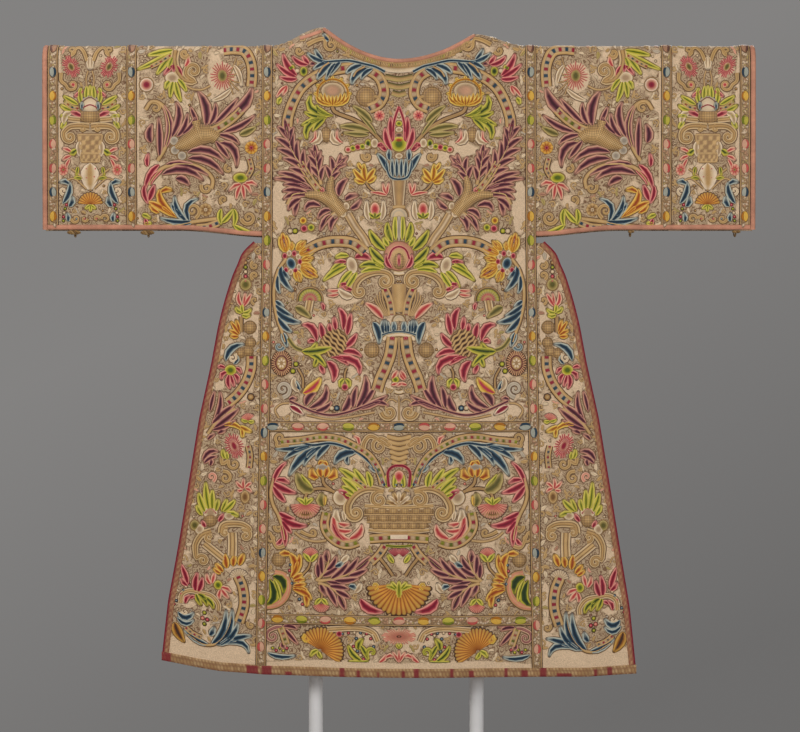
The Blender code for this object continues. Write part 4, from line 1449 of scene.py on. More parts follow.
def binding(name, node, side, line, half, seed, sign=1.0):
    """A folded silk edge, a little uneven in width and tone, with painted shade darkening it towards both
    edges.
    """
    rng = np.random.default_rng(seed)
    line = path_through(line, BINDING_ROW)
    rows = np.arange(len(line))
    knots = np.arange(0, len(line) + RIPPLE_ROWS, RIPPLE_ROWS)
    ripple = np.interp(rows, knots, rng.uniform(-1, 1, len(knots)))[:, None]
    shade = np.interp(rows, knots, rng.uniform(0.84, 1.06, len(knots))) * rng.uniform(0.93, 1.05, len(line))
    inner, flat = np.abs(BINDING_ROUND) < 0.99, np.abs(BINDING_ROUND) < 0.9
    offset = BINDING_ROUND[None] * half * (1 - 0.10 * np.abs(ripple) * inner) - 0.25 * ripple * flat
    heights = BINDING_HEIGHTS[None] + 0.22 * ripple * (BINDING_HEIGHTS > 0.6)
    # the random tone along the binding, times the painted shade across its round
    colours = SALMON * (shade[:, None] * BINDING_PAINTED_SHADE)[..., None]
    work = Work()
    work.add(beside(line, offset), heights, colours, runs_along(rows[:, None] * BINDING_ROW, offset, CORD))
    obj = lay(name, side, [(work, sign)], keep_all, SALMON_SILK)
    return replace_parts(obj, node) if node else obj


CHECKS = (thread(182, 154, 112), thread(150, 112, 84), thread(206, 182, 140), thread(140, 74, 66))
DEEP_CRIMSON = thread(136, 18, 50)
HEM_WORN = (  # where its crimson shows: first and last steps across, and the first column from its top edge
    (-239, -229, 0), (-152, -141, 2), (-137, -127, 0), (-113, -107, 5), (-59, -53, 1), (-41, -39, 3),
    (-22, -19, 4), (3, 6, 3), (15, 20, 1), (50, 54, 1), (69, 74, 3), (105, 108, 0), (121, 128, 3),
    (141, 147, 0), (158, 173, 5), (195, 198, 3), (208, 214, 2),
)
BRAID_ROW = 1.7  # steps
BRAID_ROUND = np.array([-1.0, -0.96, -0.7, -0.35, 0.0, 0.35, 0.7, 0.96, 1.0])  # shares of its half width
BRAID_HEIGHTS = np.array([-0.1, 1.1, 1.45, 1.35, 1.5, 1.35, 1.45, 1.1, -0.1])  # mm


def braid(name, node, side, line, half, crimson_edge, seed, sign=1.0):
    """A checked gold braid. Crimson shows along its outer edge, or in worn patches."""
    rng = np.random.default_rng(seed)
    line = path_through(line, BRAID_ROW)
    aside = BRAID_ROUND * half
    count, row = np.arange(len(line))[:, None], np.arange(len(aside))[None]
    if crimson_edge:
        cells = (count // 2 + row // 2) % 2
        odd = rng.integers(0, 2, cells.shape) * (rng.random(cells.shape) < 0.35)
        colours = np.array(CHECKS)[cells + 2 * odd]
        share = np.clip((-BRAID_ROUND - 0.10) * 2.0, 0, 1)[None, :, None]
        pinkish = thread(176, 122, 104)
        colours = (colours * 0.55 + pinkish * 0.45) * (1 - share) + DEEP_CRIMSON * share
    else:
        block = rng.integers(0, 2, (len(line) // 2 + 2, 3))[(count + row // 3) // 2, row // 3]
        colours = np.array((CHECKS[0], CHECKS[2]))[block]
        seam = ((count + row // 3) % 2 == 0) | (row % 3 == 0)
        colours = np.where(seam[..., None], thread(140, 102, 78) * 0.7 + colours * 0.3, colours)
        low = (row > 6) & ((count % 3 == 1) | (row > 7))
        colours = np.where(low[..., None], DEEP_CRIMSON * 0.7 + colours * 0.3, colours)
        for first, last, top in HEM_WORN:
            patch = ((line[:, 0] > first) & (line[:, 0] < last))[:, None] & (row >= top)
            colours = np.where(patch[..., None], DEEP_CRIMSON * 0.85 + colours * 0.15, colours)
    work = Work()
    runs = runs_along(count * BRAID_ROW, aside, BASKET)
    work.add(beside(line, aside), BRAID_HEIGHTS[None], colours, runs)
    obj = lay(name, side, [(work, sign)], keep_all, BRAID_THREAD)
    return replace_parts(obj, node)


TIES = (  # hand, place, across, half length of the knot, half height
    ("left", "outer", -0.584, 0.0130, 0.0045),
    ("left", "inner", -0.452, 0.0130, 0.0048),
    ("right", "inner", 0.417, 0.0060, 0.0030),
    ("right", "outer", 0.606, 0.0080, 0.0032),
)
TIE_CORD_RADIUS = 0.0016
TIE_SAG = 0.008
TIE_POINTS = 7
TUBE_SIDES = 7


def tube(path, radius):
    """Points and quads of a tube round a path, whose radius may change along it."""
    path = np.asarray(path, float)
    ahead = np.gradient(path, axis=0)
    ahead /= np.linalg.norm(ahead, axis=1, keepdims=True)
    aside = np.cross(ahead, (0.31, 0.17, 0.94))
    aside /= np.linalg.norm(aside, axis=1, keepdims=True)
    above = np.cross(ahead, aside)
    turn = np.linspace(0, 2 * math.pi, TUBE_SIDES + 1)[None, :, None]
    ring = aside[:, None] * np.cos(turn) + above[:, None] * np.sin(turn)
    points = path[:, None] + ring * np.broadcast_to(radius, len(path))[:, None, None]
    return points.reshape(-1, 3), grid_quads(len(path), TUBE_SIDES + 1)


def strands(name, lines, radius):
    """A twisted piece of gold thread, one tube for each strand."""
    points, quads, tints, runs = [], [], [], []
    for n, (line, width) in enumerate(zip(lines, radius)):
        found, faces = tube(line, width)
        quads.append(faces[:, ::-1] + sum(len(p) for p in points))
        points.append(found)
        tints.append(np.tile((GOLD, TAN, PALE_GOLD)[n % 3] * 0.72, (len(found), 1)))
        along = np.arange(len(found)) * 0.4
        runs.append(runs_along(along, along * 0.3, CORD))
    points, quads, tints, runs = (np.concatenate(found) for found in (points, quads, tints, runs))
    return mesh_piece(name, points, quads, METAL, tints, runs)


def make_tie(hand, place, across, half_length, half_height):
    """A knot of twisted gold thread below the sleeve's front edge, and the cord from it to the back edge."""
    edge_z = underside_z(np.array([across]))[0]
    front = hang_depth("front", np.array([across]), np.array([edge_z]))[0]
    back = hang_depth("back", np.array([across]), np.array([edge_z]))[0]
    knot = np.array([across, -(front + WALL / 2), edge_z - SEAM_GAP * 2 - half_height])
    share = np.linspace(-1, 1, 41)
    girth = np.sqrt(np.clip(1 - (share * 0.96) ** 2, 0, 1)) * half_height * 0.56
    lines = []
    for n in range(3):
        turn = share * 5.2 + n * math.tau / 3
        along = share * half_length * 0.94
        lines.append(knot + np.stack([along, girth * np.cos(turn), girth * np.sin(turn)], axis=1))
    widths = [np.clip(girth * 0.72, 0.0004, None)] * 3
    knot_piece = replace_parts(strands(f"knot_{hand}_{place}", lines, widths), f"tie_knot_{hand}_{place}")
    start_y, end_y = knot[1] + half_height + SEAM_GAP, back + WALL / 2
    share = np.linspace(0, 1, TIE_POINTS)
    y = start_y + (end_y - start_y) * share
    rise = edge_z - TIE_CORD_RADIUS - SEAM_GAP * 2 - knot[2]
    z = knot[2] + rise * share - TIE_SAG * 4 * share * (1 - share)
    path = np.stack([np.full(TIE_POINTS, across), y, z], axis=1)
    fine = np.linspace(0, 1, 49)
    centre = np.stack([np.interp(fine, share, path[:, k]) for k in range(3)], axis=1)
    lines = []
    for n in range(2):
        turn = fine * 40.0 + n * math.pi
        around = np.stack([np.cos(turn), 0.3 * np.sin(turn), np.sin(turn)], axis=1)
        lines.append(centre + around * TIE_CORD_RADIUS * 0.5)
    cord_piece = strands(f"cord_{hand}_{place}", lines, [TIE_CORD_RADIUS * 0.5] * 2)
    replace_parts(cord_piece, f"tie_cord_{hand}_{place}")


FRINGE_COLUMNS = mirrored([
    (-1, -0.4, 0.05, SHADOW), (-1, 0, 0.55, GOLD), (-0.5, 0, 0.75, TAN), (0, 0, 0.85, PALE_GOLD),
])
FRINGE_TONES = [(BROWN, GOLD, PALE_GOLD)] * 5 + [TONES["moss"]] * 2 + [TONES["green"], (BROWN, BROWN, TAN)]
FRINGE_HALF = 2.6  # steps
FRINGE_SEED = 51
NECK_BINDING = 0.0072
SHOULDER_MEND = ((99, 37.6), (92, 35.6), (85, 33.2), (78, 30.4))  # salmon silk, on the left shoulder alone
MEND_HALF = 1.9  # steps
LEVEL_ROW, SIDE_ROW, NECK_ROW, FRINGE_ROW = 0.006, 0.02, 0.004, 0.003  # metres between a trim's points


def make_fringe(side):
    """A strip of gold thread with short slanting lobes, just below the neck's binding."""
    reach = NECK_HALF - 0.006
    across = spread(-reach, reach, FRINGE_ROW)
    work = Work()
    line = steps_of(across, neck_z(across) - NECK_BINDING - FRINGE_HALF * STEP)
    strip(work, line, FRINGE_HALF, FRINGE_COLUMNS)
    rng = np.random.default_rng(FRINGE_SEED)
    for place in line[2:-2]:
        tones = FRINGE_TONES[rng.integers(len(FRINGE_TONES))]
        lobe(work, place + (0.4, -2.0), place, place + (-0.5, 2.2), 0.7, tones)
    lay(f"trim_fringe_{side}", side, [(work, 1.0)], keep_all, METAL)


def make_trims(side):
    """All the galloons, bindings and braids of a side."""
    half = GALLOON / 2
    for hand, sign in HANDS.items():
        where = f"{side}_{hand}"
        levels = levels_down(SEAM_TOP_X, HEM_Z + HEM_BRAID)
        galloon(f"trim_long_{where}", f"galloon_{where}", side, steps_of(seam_x(levels), levels), sign)
        for label, x in (("inner", CUFF_SEAM_X), ("outer", OUTER_GALLOON_X + half)):
            levels = levels_down(x, underside_z(np.array([x]))[0] + BINDING)
            line = steps_of(np.full_like(levels, x), levels)
            galloon(f"trim_{label}_{where}", f"galloon_{label}_{where}", side, line, sign)
        x = SLEEVE_END_X - BINDING / 2
        levels = levels_down(x, underside_z(np.array([x]))[0])
        line = steps_of(np.full_like(levels, x), levels)
        binding(
            f"trim_cuff_end_{where}", f"cuff_binding_{where}", side, line, BINDING / 2 / STEP, seed=31,
            sign=sign,
        )
        across = spread(SEAM_TOP_X, SLEEVE_END_X - BINDING, LEVEL_ROW)
        line = steps_of(across, underside_z(across) + BINDING / 2)
        binding(
            f"trim_underarm_{where}", f"under_binding_{where}", side, line, BINDING / 2 / STEP, seed=32,
            sign=sign,
        )
        levels = spread(GORE_TOP_Z - 0.001, HEM_Z + HEM_BRAID, SIDE_ROW)
        line = steps_of(table_column(GORE_EDGE, levels) - BRAID / 2, levels)
        braid(
            f"trim_side_{where}", f"side_braid_{where}", side, line, BRAID / 2 / STEP, True, seed=11,
            sign=sign,
        )
    for label, top, pattern in (("waist", WAIST_TOP_Z, WAIST), ("low", LOW_TOP_Z, LOW)):
        reach = seam_x(np.array([top]))[0] - half
        across = spread(-reach, reach, LEVEL_ROW)
        line = steps_of(across, np.full_like(across, top - half))
        galloon(f"trim_{label}_{side}", f"galloon_{label}_{side}", side, line, 1.0, pattern)
    reach = NECK_HALF - 0.001
    across = spread(-reach, reach, NECK_ROW)
    line = steps_of(across, neck_z(across) - NECK_BINDING / 2)
    binding(f"trim_neck_{side}", f"neck_binding_{side}", side, line, NECK_BINDING / 2 / STEP, seed=33)
    if side == "front":
        line = np.array(SHOULDER_MEND, float)
        binding("trim_shoulder", None, side, line, MEND_HALF, seed=34, sign=-1.0)
    make_fringe(side)
    reach = GORE_EDGE[-1][1] - 0.0005
    across = spread(-reach, reach, SIDE_ROW)
    line = steps_of(across, np.full_like(across, HEM_Z + HEM_BRAID / 2))
    braid(f"trim_hem_{side}", f"hem_braid_{side}", side, line, HEM_BRAID / 2 / STEP, False, seed=7)


# ---------------------------------------------------------------------------
# The design, in drawing steps: out from the middle line, and down from the top line
# ---------------------------------------------------------------------------


def draw_upper(work):
    """Half of the breast, between the neck and the waist galloon."""
    # Jewelled ribbon round a gold disc, under a blue acanthus
    jewels(work, [
        (112, 126), (111, 116), (106, 101), (97, 86), (82, 75), (64, 69), (46, 67), (30, 70), (19, 78),
        (15, 92), (20, 103), (30, 108),
    ], 5.0, gap=4.4)
    net(work, (33, 96), 9)
    volute(work, (27, 100), 12, 0.35, 250, 1, half=1.4)
    work.raised = 1.1
    band(
        work, [(14, 71), (24, 66), (34, 63.5), (50, 60), (64, 60.5), (74, 61), (84, 58)], 1.6,
        satin_columns("blue"),
    )
    lobes(work, "blue", [
        ((76, 59), (83, 54), (84, 48), 2.4), ((74, 61), (84, 60), (92, 52), 2.8),
        ((70, 61), (78, 62), (86, 69), 2.8), ((67, 62), (78, 70), (82, 79), 3.2),
        ((63, 62), (70, 68), (73, 79), 2.4), ((58, 61), (66, 66), (69, 75), 3.0),
        ((36, 64), (48, 66), (53, 73), 3.0), ((31, 67), (48, 72), (47, 84), 4.0),
        ((26, 68), (36, 70), (38, 79), 2.8),
    ])
    work.raised = 0.0
    cord(work, [(70, 62), (76, 66), (80, 72)], 0.7, 1.8)
    cord(work, [(34, 66), (42, 70), (46, 76)], 0.7, 1.8)
    lobes(work, "crimson", [
        ((102, 75), (114, 66), (116, 53), 3.6), ((103, 76), (112, 74), (123, 63), 3.0),
        ((102, 78), (110, 80), (120, 76), 2.6), ((91, 64), (102, 64), (107, 55), 2.8),
        ((90, 63), (94, 60), (97, 54), 2.6), ((60, 68), (62, 66), (58, 64), 2.0),
    ])
    lobe(work, (84, 64), (87, 61), (90, 65), 2.8, "plum")
    oval(work, (108, 67), 3.2, 2.8, "lime", count=10)
    oval(work, (95.5, 70.5), 3.4, 4.4, "green", count=12)
    bead(work, (102, 70), 2.4, "ivory")
    lotus(work, (66.5, 105), 15.5, 26)
    stem(work, [(67, 106), (63, 112), (43, 120), (27, 131), (12, 148)], 1.7)
    lobes(work, "green", [
        ((66, 115), (98, 112), (88, 94), 4.0), ((70, 114), (82, 112), (83, 104), 3.2),
        ((72, 116), (84, 118), (95, 111), 3.0), ((72, 117), (86, 118), (98, 125), 3.0),
        ((76, 118), (98, 122), (92, 139), 3.8), ((74, 118), (82, 122), (86, 131), 3.0),
    ])
    lobes(work, "moss", [
        ((27, 122), (34, 112), (47, 105), 3.4), ((29, 131), (45, 124), (60, 126), 3.4),
        ((30, 134), (42, 134), (56, 132), 2.6), ((22, 136), (30, 122), (42, 112), 1.8),
    ])
    for across, lean in ((84, -1), (62, 1)):
        lobes(work, "ivory", [
            ((across - 4 * lean, 143), (across + 9 * lean, 142), (across + 4 * lean, 129), 2.6),
        ])
        lobes(work, "pink", [
            ((across - 6 * lean, 142), (across + 4 * lean, 140), (across - 1 * lean, 128), 1.6),
        ])
    net(work, (73, 134), 4.6, 6.6)
    lobes(work, "pink", [((112, 85), (118, 88), (123, 97)), ((112, 85), (113, 90), (117, 95))], 2.0)
    lobe(work, (117, 98), (121, 98), (121, 104), 2.6, "lime")
    aster(work, (19.5, 115), 5.5, 5.5, "pink", "crimson", 8)
    for n, tones in enumerate(("pink", "lime", "crimson", "lime", "ivory")):
        oval(work, (51 - 4.8 * n, 149 - 1.6 * n + 0.2 * n * n), 2.8, 2.6, tones, count=10)
    lobe(work, (22, 146), (18, 142), (14, 147), 3.2, "crimson")
    volute(work, (32, 156), 5, 1.3, 60, 1, half=1.8)
    volute(work, (68, 44), 7, 1.4, 60, 1, [(92, 44), (84, 40), (76, 38)], 1.8)
    volute(work, (100, 50), 4.5, 1.2, 260, -1, half=1.4)
    lobe(work, (70, 40), (74, 38), (76, 33), 2.4, "blue")
    lobes(work, "pink", [
        ((12, 195), (20, 192), (29, 192)), ((12, 194), (16, 190), (16, 182)),
        ((12, 194), (12, 188), (10, 182)),
    ], 1.8)
    lobes(work, "yellow", [
        ((33, 181), (40, 178), (46, 168), 3.0), ((33, 181), (36, 172), (35, 163), 3.2),
        ((33, 181), (28, 174), (24, 168), 3.0), ((34, 182), (40, 182), (45, 178), 2.6),
        ((32, 182), (26, 180), (23, 175), 2.6), ((36, 170), (40, 166), (41, 162), 2.0),
    ])
    bead(work, (36, 167), 1.6, "green")
    stem(work, [(33, 182), (29, 188), (20, 194)], 1.0)
    # Big plum flower
    stalk = edge_columns([(-1, 0, 0.5, PALE_GOLD), (-0.5, 0, 0.7, TAN), (0, 0, 0.9, CREAM)])
    band(work, [(51, 214), (44, 226), (36, 237), (31, 246)], 3.6, stalk)
    feather(work, [(84, 186), (96, 168), (108, 148), (113, 126)], "plum", 5, 24, half=3.4, spread_out=30)
    feather(work, [(78, 184), (82, 166), (84, 150)], "plum", 3, 17, half=3.0, spread_out=28)
    feather(work, [(70, 184), (66, 170), (56, 160)], "plum", 3, 16, half=3.0, spread_out=32)
    lobes(work, "plum", [
        ((86, 190), (104, 176), (126, 178), 3.4), ((88, 189), (104, 182), (116, 184), 3.2),
        ((92, 184), (104, 172), (122, 172), 3.2), ((92, 195), (106, 190), (116, 199), 3.6),
        ((90, 194), (106, 186), (117, 191), 3.4), ((98, 198), (108, 200), (111, 210), 3.4),
        ((100, 202), (106, 208), (104, 216), 3.0), ((78, 206), (92, 198), (94, 211), 3.6),
        ((68, 210), (78, 208), (81, 219), 3.2), ((66, 214), (76, 218), (79, 231), 3.4),
        ((60, 216), (70, 218), (68, 231), 3.4), ((60, 196), (62, 184), (51, 178), 4.2),
        ((54, 200), (50, 194), (40, 195), 3.4), ((49, 208), (42, 208), (38, 198), 3.2),
    ])
    band(work, [(94, 192), (106, 194), (112, 204)], 1.3, RIB)
    band(work, [(90, 186), (104, 178), (120, 176)], 1.2, RIB, taper=narrowing)
    band(work, [(64, 212), (72, 218), (75, 226)], 1.1, RIB, taper=narrowing)
    band(
        work, [(94, 194), (78, 195), (64, 204), (56, 214)], 6.4, NET_COLUMNS,
        taper=lambda share: 0.35 + 0.95 * share * (1.7 - share), kind=NET,
    )
    band(
        work, [(67, 176), (69, 188), (64, 202), (56, 214)], 5.0, NET_COLUMNS,
        taper=lambda share: 0.5 + 0.7 * share * (1.6 - share), kind=NET,
    )
    jewels(work, [(79, 191), (89, 178), (99, 162)], 3.4, LIME_JEWELS, 3.6)
    lobe(work, (80, 187), (77, 190), (75, 192), 2.6, "crimson")
    for place in ((53, 206), (56, 213), (64, 216)):
        oval(work, place, 3.2, 3.8, "ivory", count=12)
    for place, tones in (((96, 220), "yellow"), ((88, 227), "lime"), ((95, 228), "crimson")):
        oval(work, place, 3.2, 3.2, tones, count=10)
    for n in range(2):
        bead(work, (104 + n * 5, 230.5), 2.6, "ivory" if n % 2 else "lime")
    # A plain bud where the old design has a small head
    bud(work, (24, 218), (24, 203), 4.6, "pink")
    lobes(work, "ivory", [((18, 220), (14, 212), (16, 200), 2.6), ((30, 220), (34, 212), (32, 200), 2.6)])
    jewels(work, [(92, 250), (80, 244), (64, 241), (46, 243), (34, 252)], 5.2, gap=4.4)
    lobes(work, "lime", [
        ((50, 256), (58, 253), (64, 258), 2.8), ((52, 266), (64, 268), (76, 281), 3.6),
        ((54, 262), (62, 264), (69, 272), 2.8), ((46, 270), (54, 276), (61, 288), 3.0),
        ((42, 272), (46, 280), (54, 290), 3.0),
    ])
    lobes(work, "crimson", [
        ((44, 258), (36, 252), (28, 260), 4.0), ((52, 262), (58, 260), (65, 263), 2.4),
        ((52, 284), (56, 283), (61, 287), 2.8), ((46, 290), (52, 289), (58, 284), 2.4),
    ])
    oval(work, (47, 265), 5.0, 8.0, "ivory", 16)
    bead(work, (48, 265), 1.6, "grey")
    lobe(work, (46, 296), (54, 298), (61, 288), 3.6, "ivory")
    lobes(work, "pink", [((60, 290), (66, 292), (72, 290), 1.8), ((60, 294), (66, 296), (72, 295), 1.8)])
    # Orange flower
    for base, tip, half in (
        ((113, 252), (117, 232), 5.6), ((103, 250), (93, 240), 3.8), ((100, 254), (82, 246), 5.2),
        ((98, 260), (85, 257), 3.2), ((99, 264), (86, 267), 3.0), ((99, 266), (81, 277), 5.2),
        ((104, 270), (98, 282), 4.2), ((108, 250), (107, 241), 2.6),
    ):
        base, tip = np.array(base, float), np.array(tip, float)
        way = tip - base
        for turn in (-24, 24):
            lobe(
                work, base, base + turned_by(way, turn) * 0.5, base + turned_by(way, turn * 0.35) * 0.86,
                half * 0.62, "yellow",
            )
        lobe(work, base, base + way * 0.5, tip, half * 0.7, "orange")
        if half > 4:
            lobe(work, base + way * 0.15, base + way * 0.45, base + way * 0.78, half * 0.26, "plum")
    for n in range(9):
        turn = n * math.tau / 11 - 0.8
        oval(
            work, (108 - 9 * math.sin(turn), 262 - 9.5 * math.cos(turn)), 2.3, 2.9,
            "ivory" if n % 2 else "crimson", count=10,
        )
    oval(work, (108, 263), 4.4, 6.0, "blue", 20)
    lobes(work, "blue", [
        ((118, 264), (122, 278), (106, 291), 4.0), ((117, 268), (114, 276), (109, 279), 2.8),
        ((121, 274), (124, 286), (119, 293), 2.6), ((124, 300), (120, 304), (115, 307), 2.8),
        ((124, 304), (118, 312), (106, 316), 3.2), ((123, 310), (114, 322), (98, 322), 4.2),
        ((122, 316), (116, 328), (107, 332), 3.6), ((117, 332), (114, 338), (112, 347), 3.2),
    ])
    band(work, [(113, 258), (121, 270), (125, 286), (125, 302), (122, 318), (117, 332), (114, 342)], 1.2, RIB)
    volute(work, (120, 346), 5, 1.0, 260, -1, half=1.8, tones="blue")
    lobe(work, (104, 307), (98, 308), (88, 318), 4.2, "moss")
    dome(work, (89, 300), 12, ("gold", "lime", "moss", "crimson", "gold", "crimson"))
    band(work, [(89, 300), (91, 311)], 3.6, SCROLL)
    volute(work, (14, 281), 8.5, 1.4, 0, -1, [(45, 291), (43, 283), (36, 276), (24, 272)], 4.0)
    volute(work, (39, 291), 6.5, 1.2, 60, 1, half=3.0)
    lobes(work, "crimson", [((76, 310), (74, 305), (78, 303), 1.8)])
    # Vase, ribbons and carnation
    jewels(work, [(14, 289), (9, 302), (7, 315)], 3.6, gap=3.4)
    lobes(work, "pink", [((16, 319), (22, 308), (34, 303), 3.8)])
    lobes(work, "blue", [
        ((26, 322), (18, 330), (20, 344), 4.2), ((15, 334), (18, 326), (15, 320), 2.8),
        ((11, 334), (10, 326), (12, 321), 2.0), ((5, 334), (6, 326), (5, 321), 2.4),
    ])
    jewels(work, [(6.5, 337), (8.6, 353), (11.4, 362), (15, 371), (18.5, 379), (22, 391)], 5.4, gap=4.2)
    net(work, (27, 350), 6.5, 6.5)
    lobes(work, "crimson", [
        ((82, 341), (84, 322), (97, 325), 4.0), ((84, 342), (88, 338), (91, 343), 2.6),
        ((76, 339), (76, 330), (79, 323), 3.4), ((68, 332), (70, 328), (69, 323), 2.6),
        ((63, 330), (64, 324), (65, 316), 2.8), ((56, 330), (52, 314), (61, 308), 3.8),
        ((52, 335), (50, 324), (48, 313), 3.4), ((54, 347), (46, 342), (42, 333), 3.4),
        ((57, 352), (46, 348), (37, 357), 3.2), ((68, 357), (34, 356), (40, 375), 4.2),
        ((64, 357), (56, 358), (50, 365), 2.8), ((72, 361), (60, 368), (66, 382), 4.4),
        ((79, 365), (76, 369), (75, 374), 2.8),
    ])
    pineapple(work, (65, 343), 12.5, 14, -48)
    band(work, [(111, 338), (104, 347), (94, 351)], 2.2, satin_columns("moss"))
    work.raised = 0.9
    lobes(work, "green", [
        ((97, 351), (84, 353), (66, 347), 4.4), ((90, 350), (84, 350), (82, 342), 2.8),
        ((94, 352), (80, 354), (73, 367), 3.2), ((82, 358), (82, 362), (85, 367), 2.4),
    ])
    work.raised = 0.0
    sunflower(work, np.array([117.5, 363.0]))
    for place in ((103, 364), (106, 371)):
        bead(work, place, 2.4, "lime")
    stem(work, [(101, 368), (96, 378), (96, 388)], 1.0)
    lobe(
        work, (96, 393), (84, 390), (78, 377), 5.2,
        (TONES["crimson"][1], TONES["yellow"][1], TONES["yellow"][2]),
    )
    lobes(work, "ivory", [((100, 392), (108, 384), (104, 377), 3.2)])
    lobe(work, (99, 390), (102, 386), (104, 380), 2.4, "blue")
    lobes(work, "plum", [
        ((93, 406), (92, 394), (82, 393), 4.2), ((90, 408), (68, 402), (73, 385), 4.2),
        ((84, 411), (72, 410), (67, 401), 3.2), ((57, 411), (48, 406), (50, 394), 4.2),
        ((46, 408), (46, 396), (42, 386), 3.4), ((43, 408), (28, 392), (34, 375), 4.6),
        ((37, 405), (30, 398), (23, 385), 3.4), ((40, 409), (24, 404), (11, 395), 3.4),
        ((26, 403), (18, 400), (10, 406), 2.8), ((110, 400), (106, 396), (102, 400), 2.4),
    ])
    band(
        work, [(109, 401), (96, 407), (84, 412), (68, 415), (53, 412.5), (37, 407), (24, 402)], 1.5,
        satin_columns("plum"),
    )
    bead(work, (62, 408), 2.6, "blue")
    bead(work, (67, 408), 2.4, "ivory")
    cord(work, [(120, 418), (124, 410), (118, 404), (110, 403)], 1.0)
    cord(work, [(92, 415), (70, 419), (50, 417), (24, 412)], 1.0)
    lobes(work, "lime", [((54, 379), (60, 380), (58, 388), 2.4), ((54, 379), (48, 380), (50, 388), 2.4)])
    oval(work, (54, 387), 3.2, 3.2, "crimson", count=10)
    stem(work, [(54, 380), (54, 373), (52, 368)], 0.9)
    volute(work, (116, 389), 8.5, 1.5, 180, 1, half=1.9, tones="grey")
    lobe(work, (109, 406), (103, 408), (95, 415), 3.2, (TONES["crimson"][0], TONES["crimson"][1], IVORY))
    volute(work, (10, 412), 7.5, 1.3, 90, 1, half=3.0)
    lobes(work, "pink", [((7, 379), (4, 374), (1, 370), 2.4), ((8, 385), (4, 384), (1, 383), 2.0)])


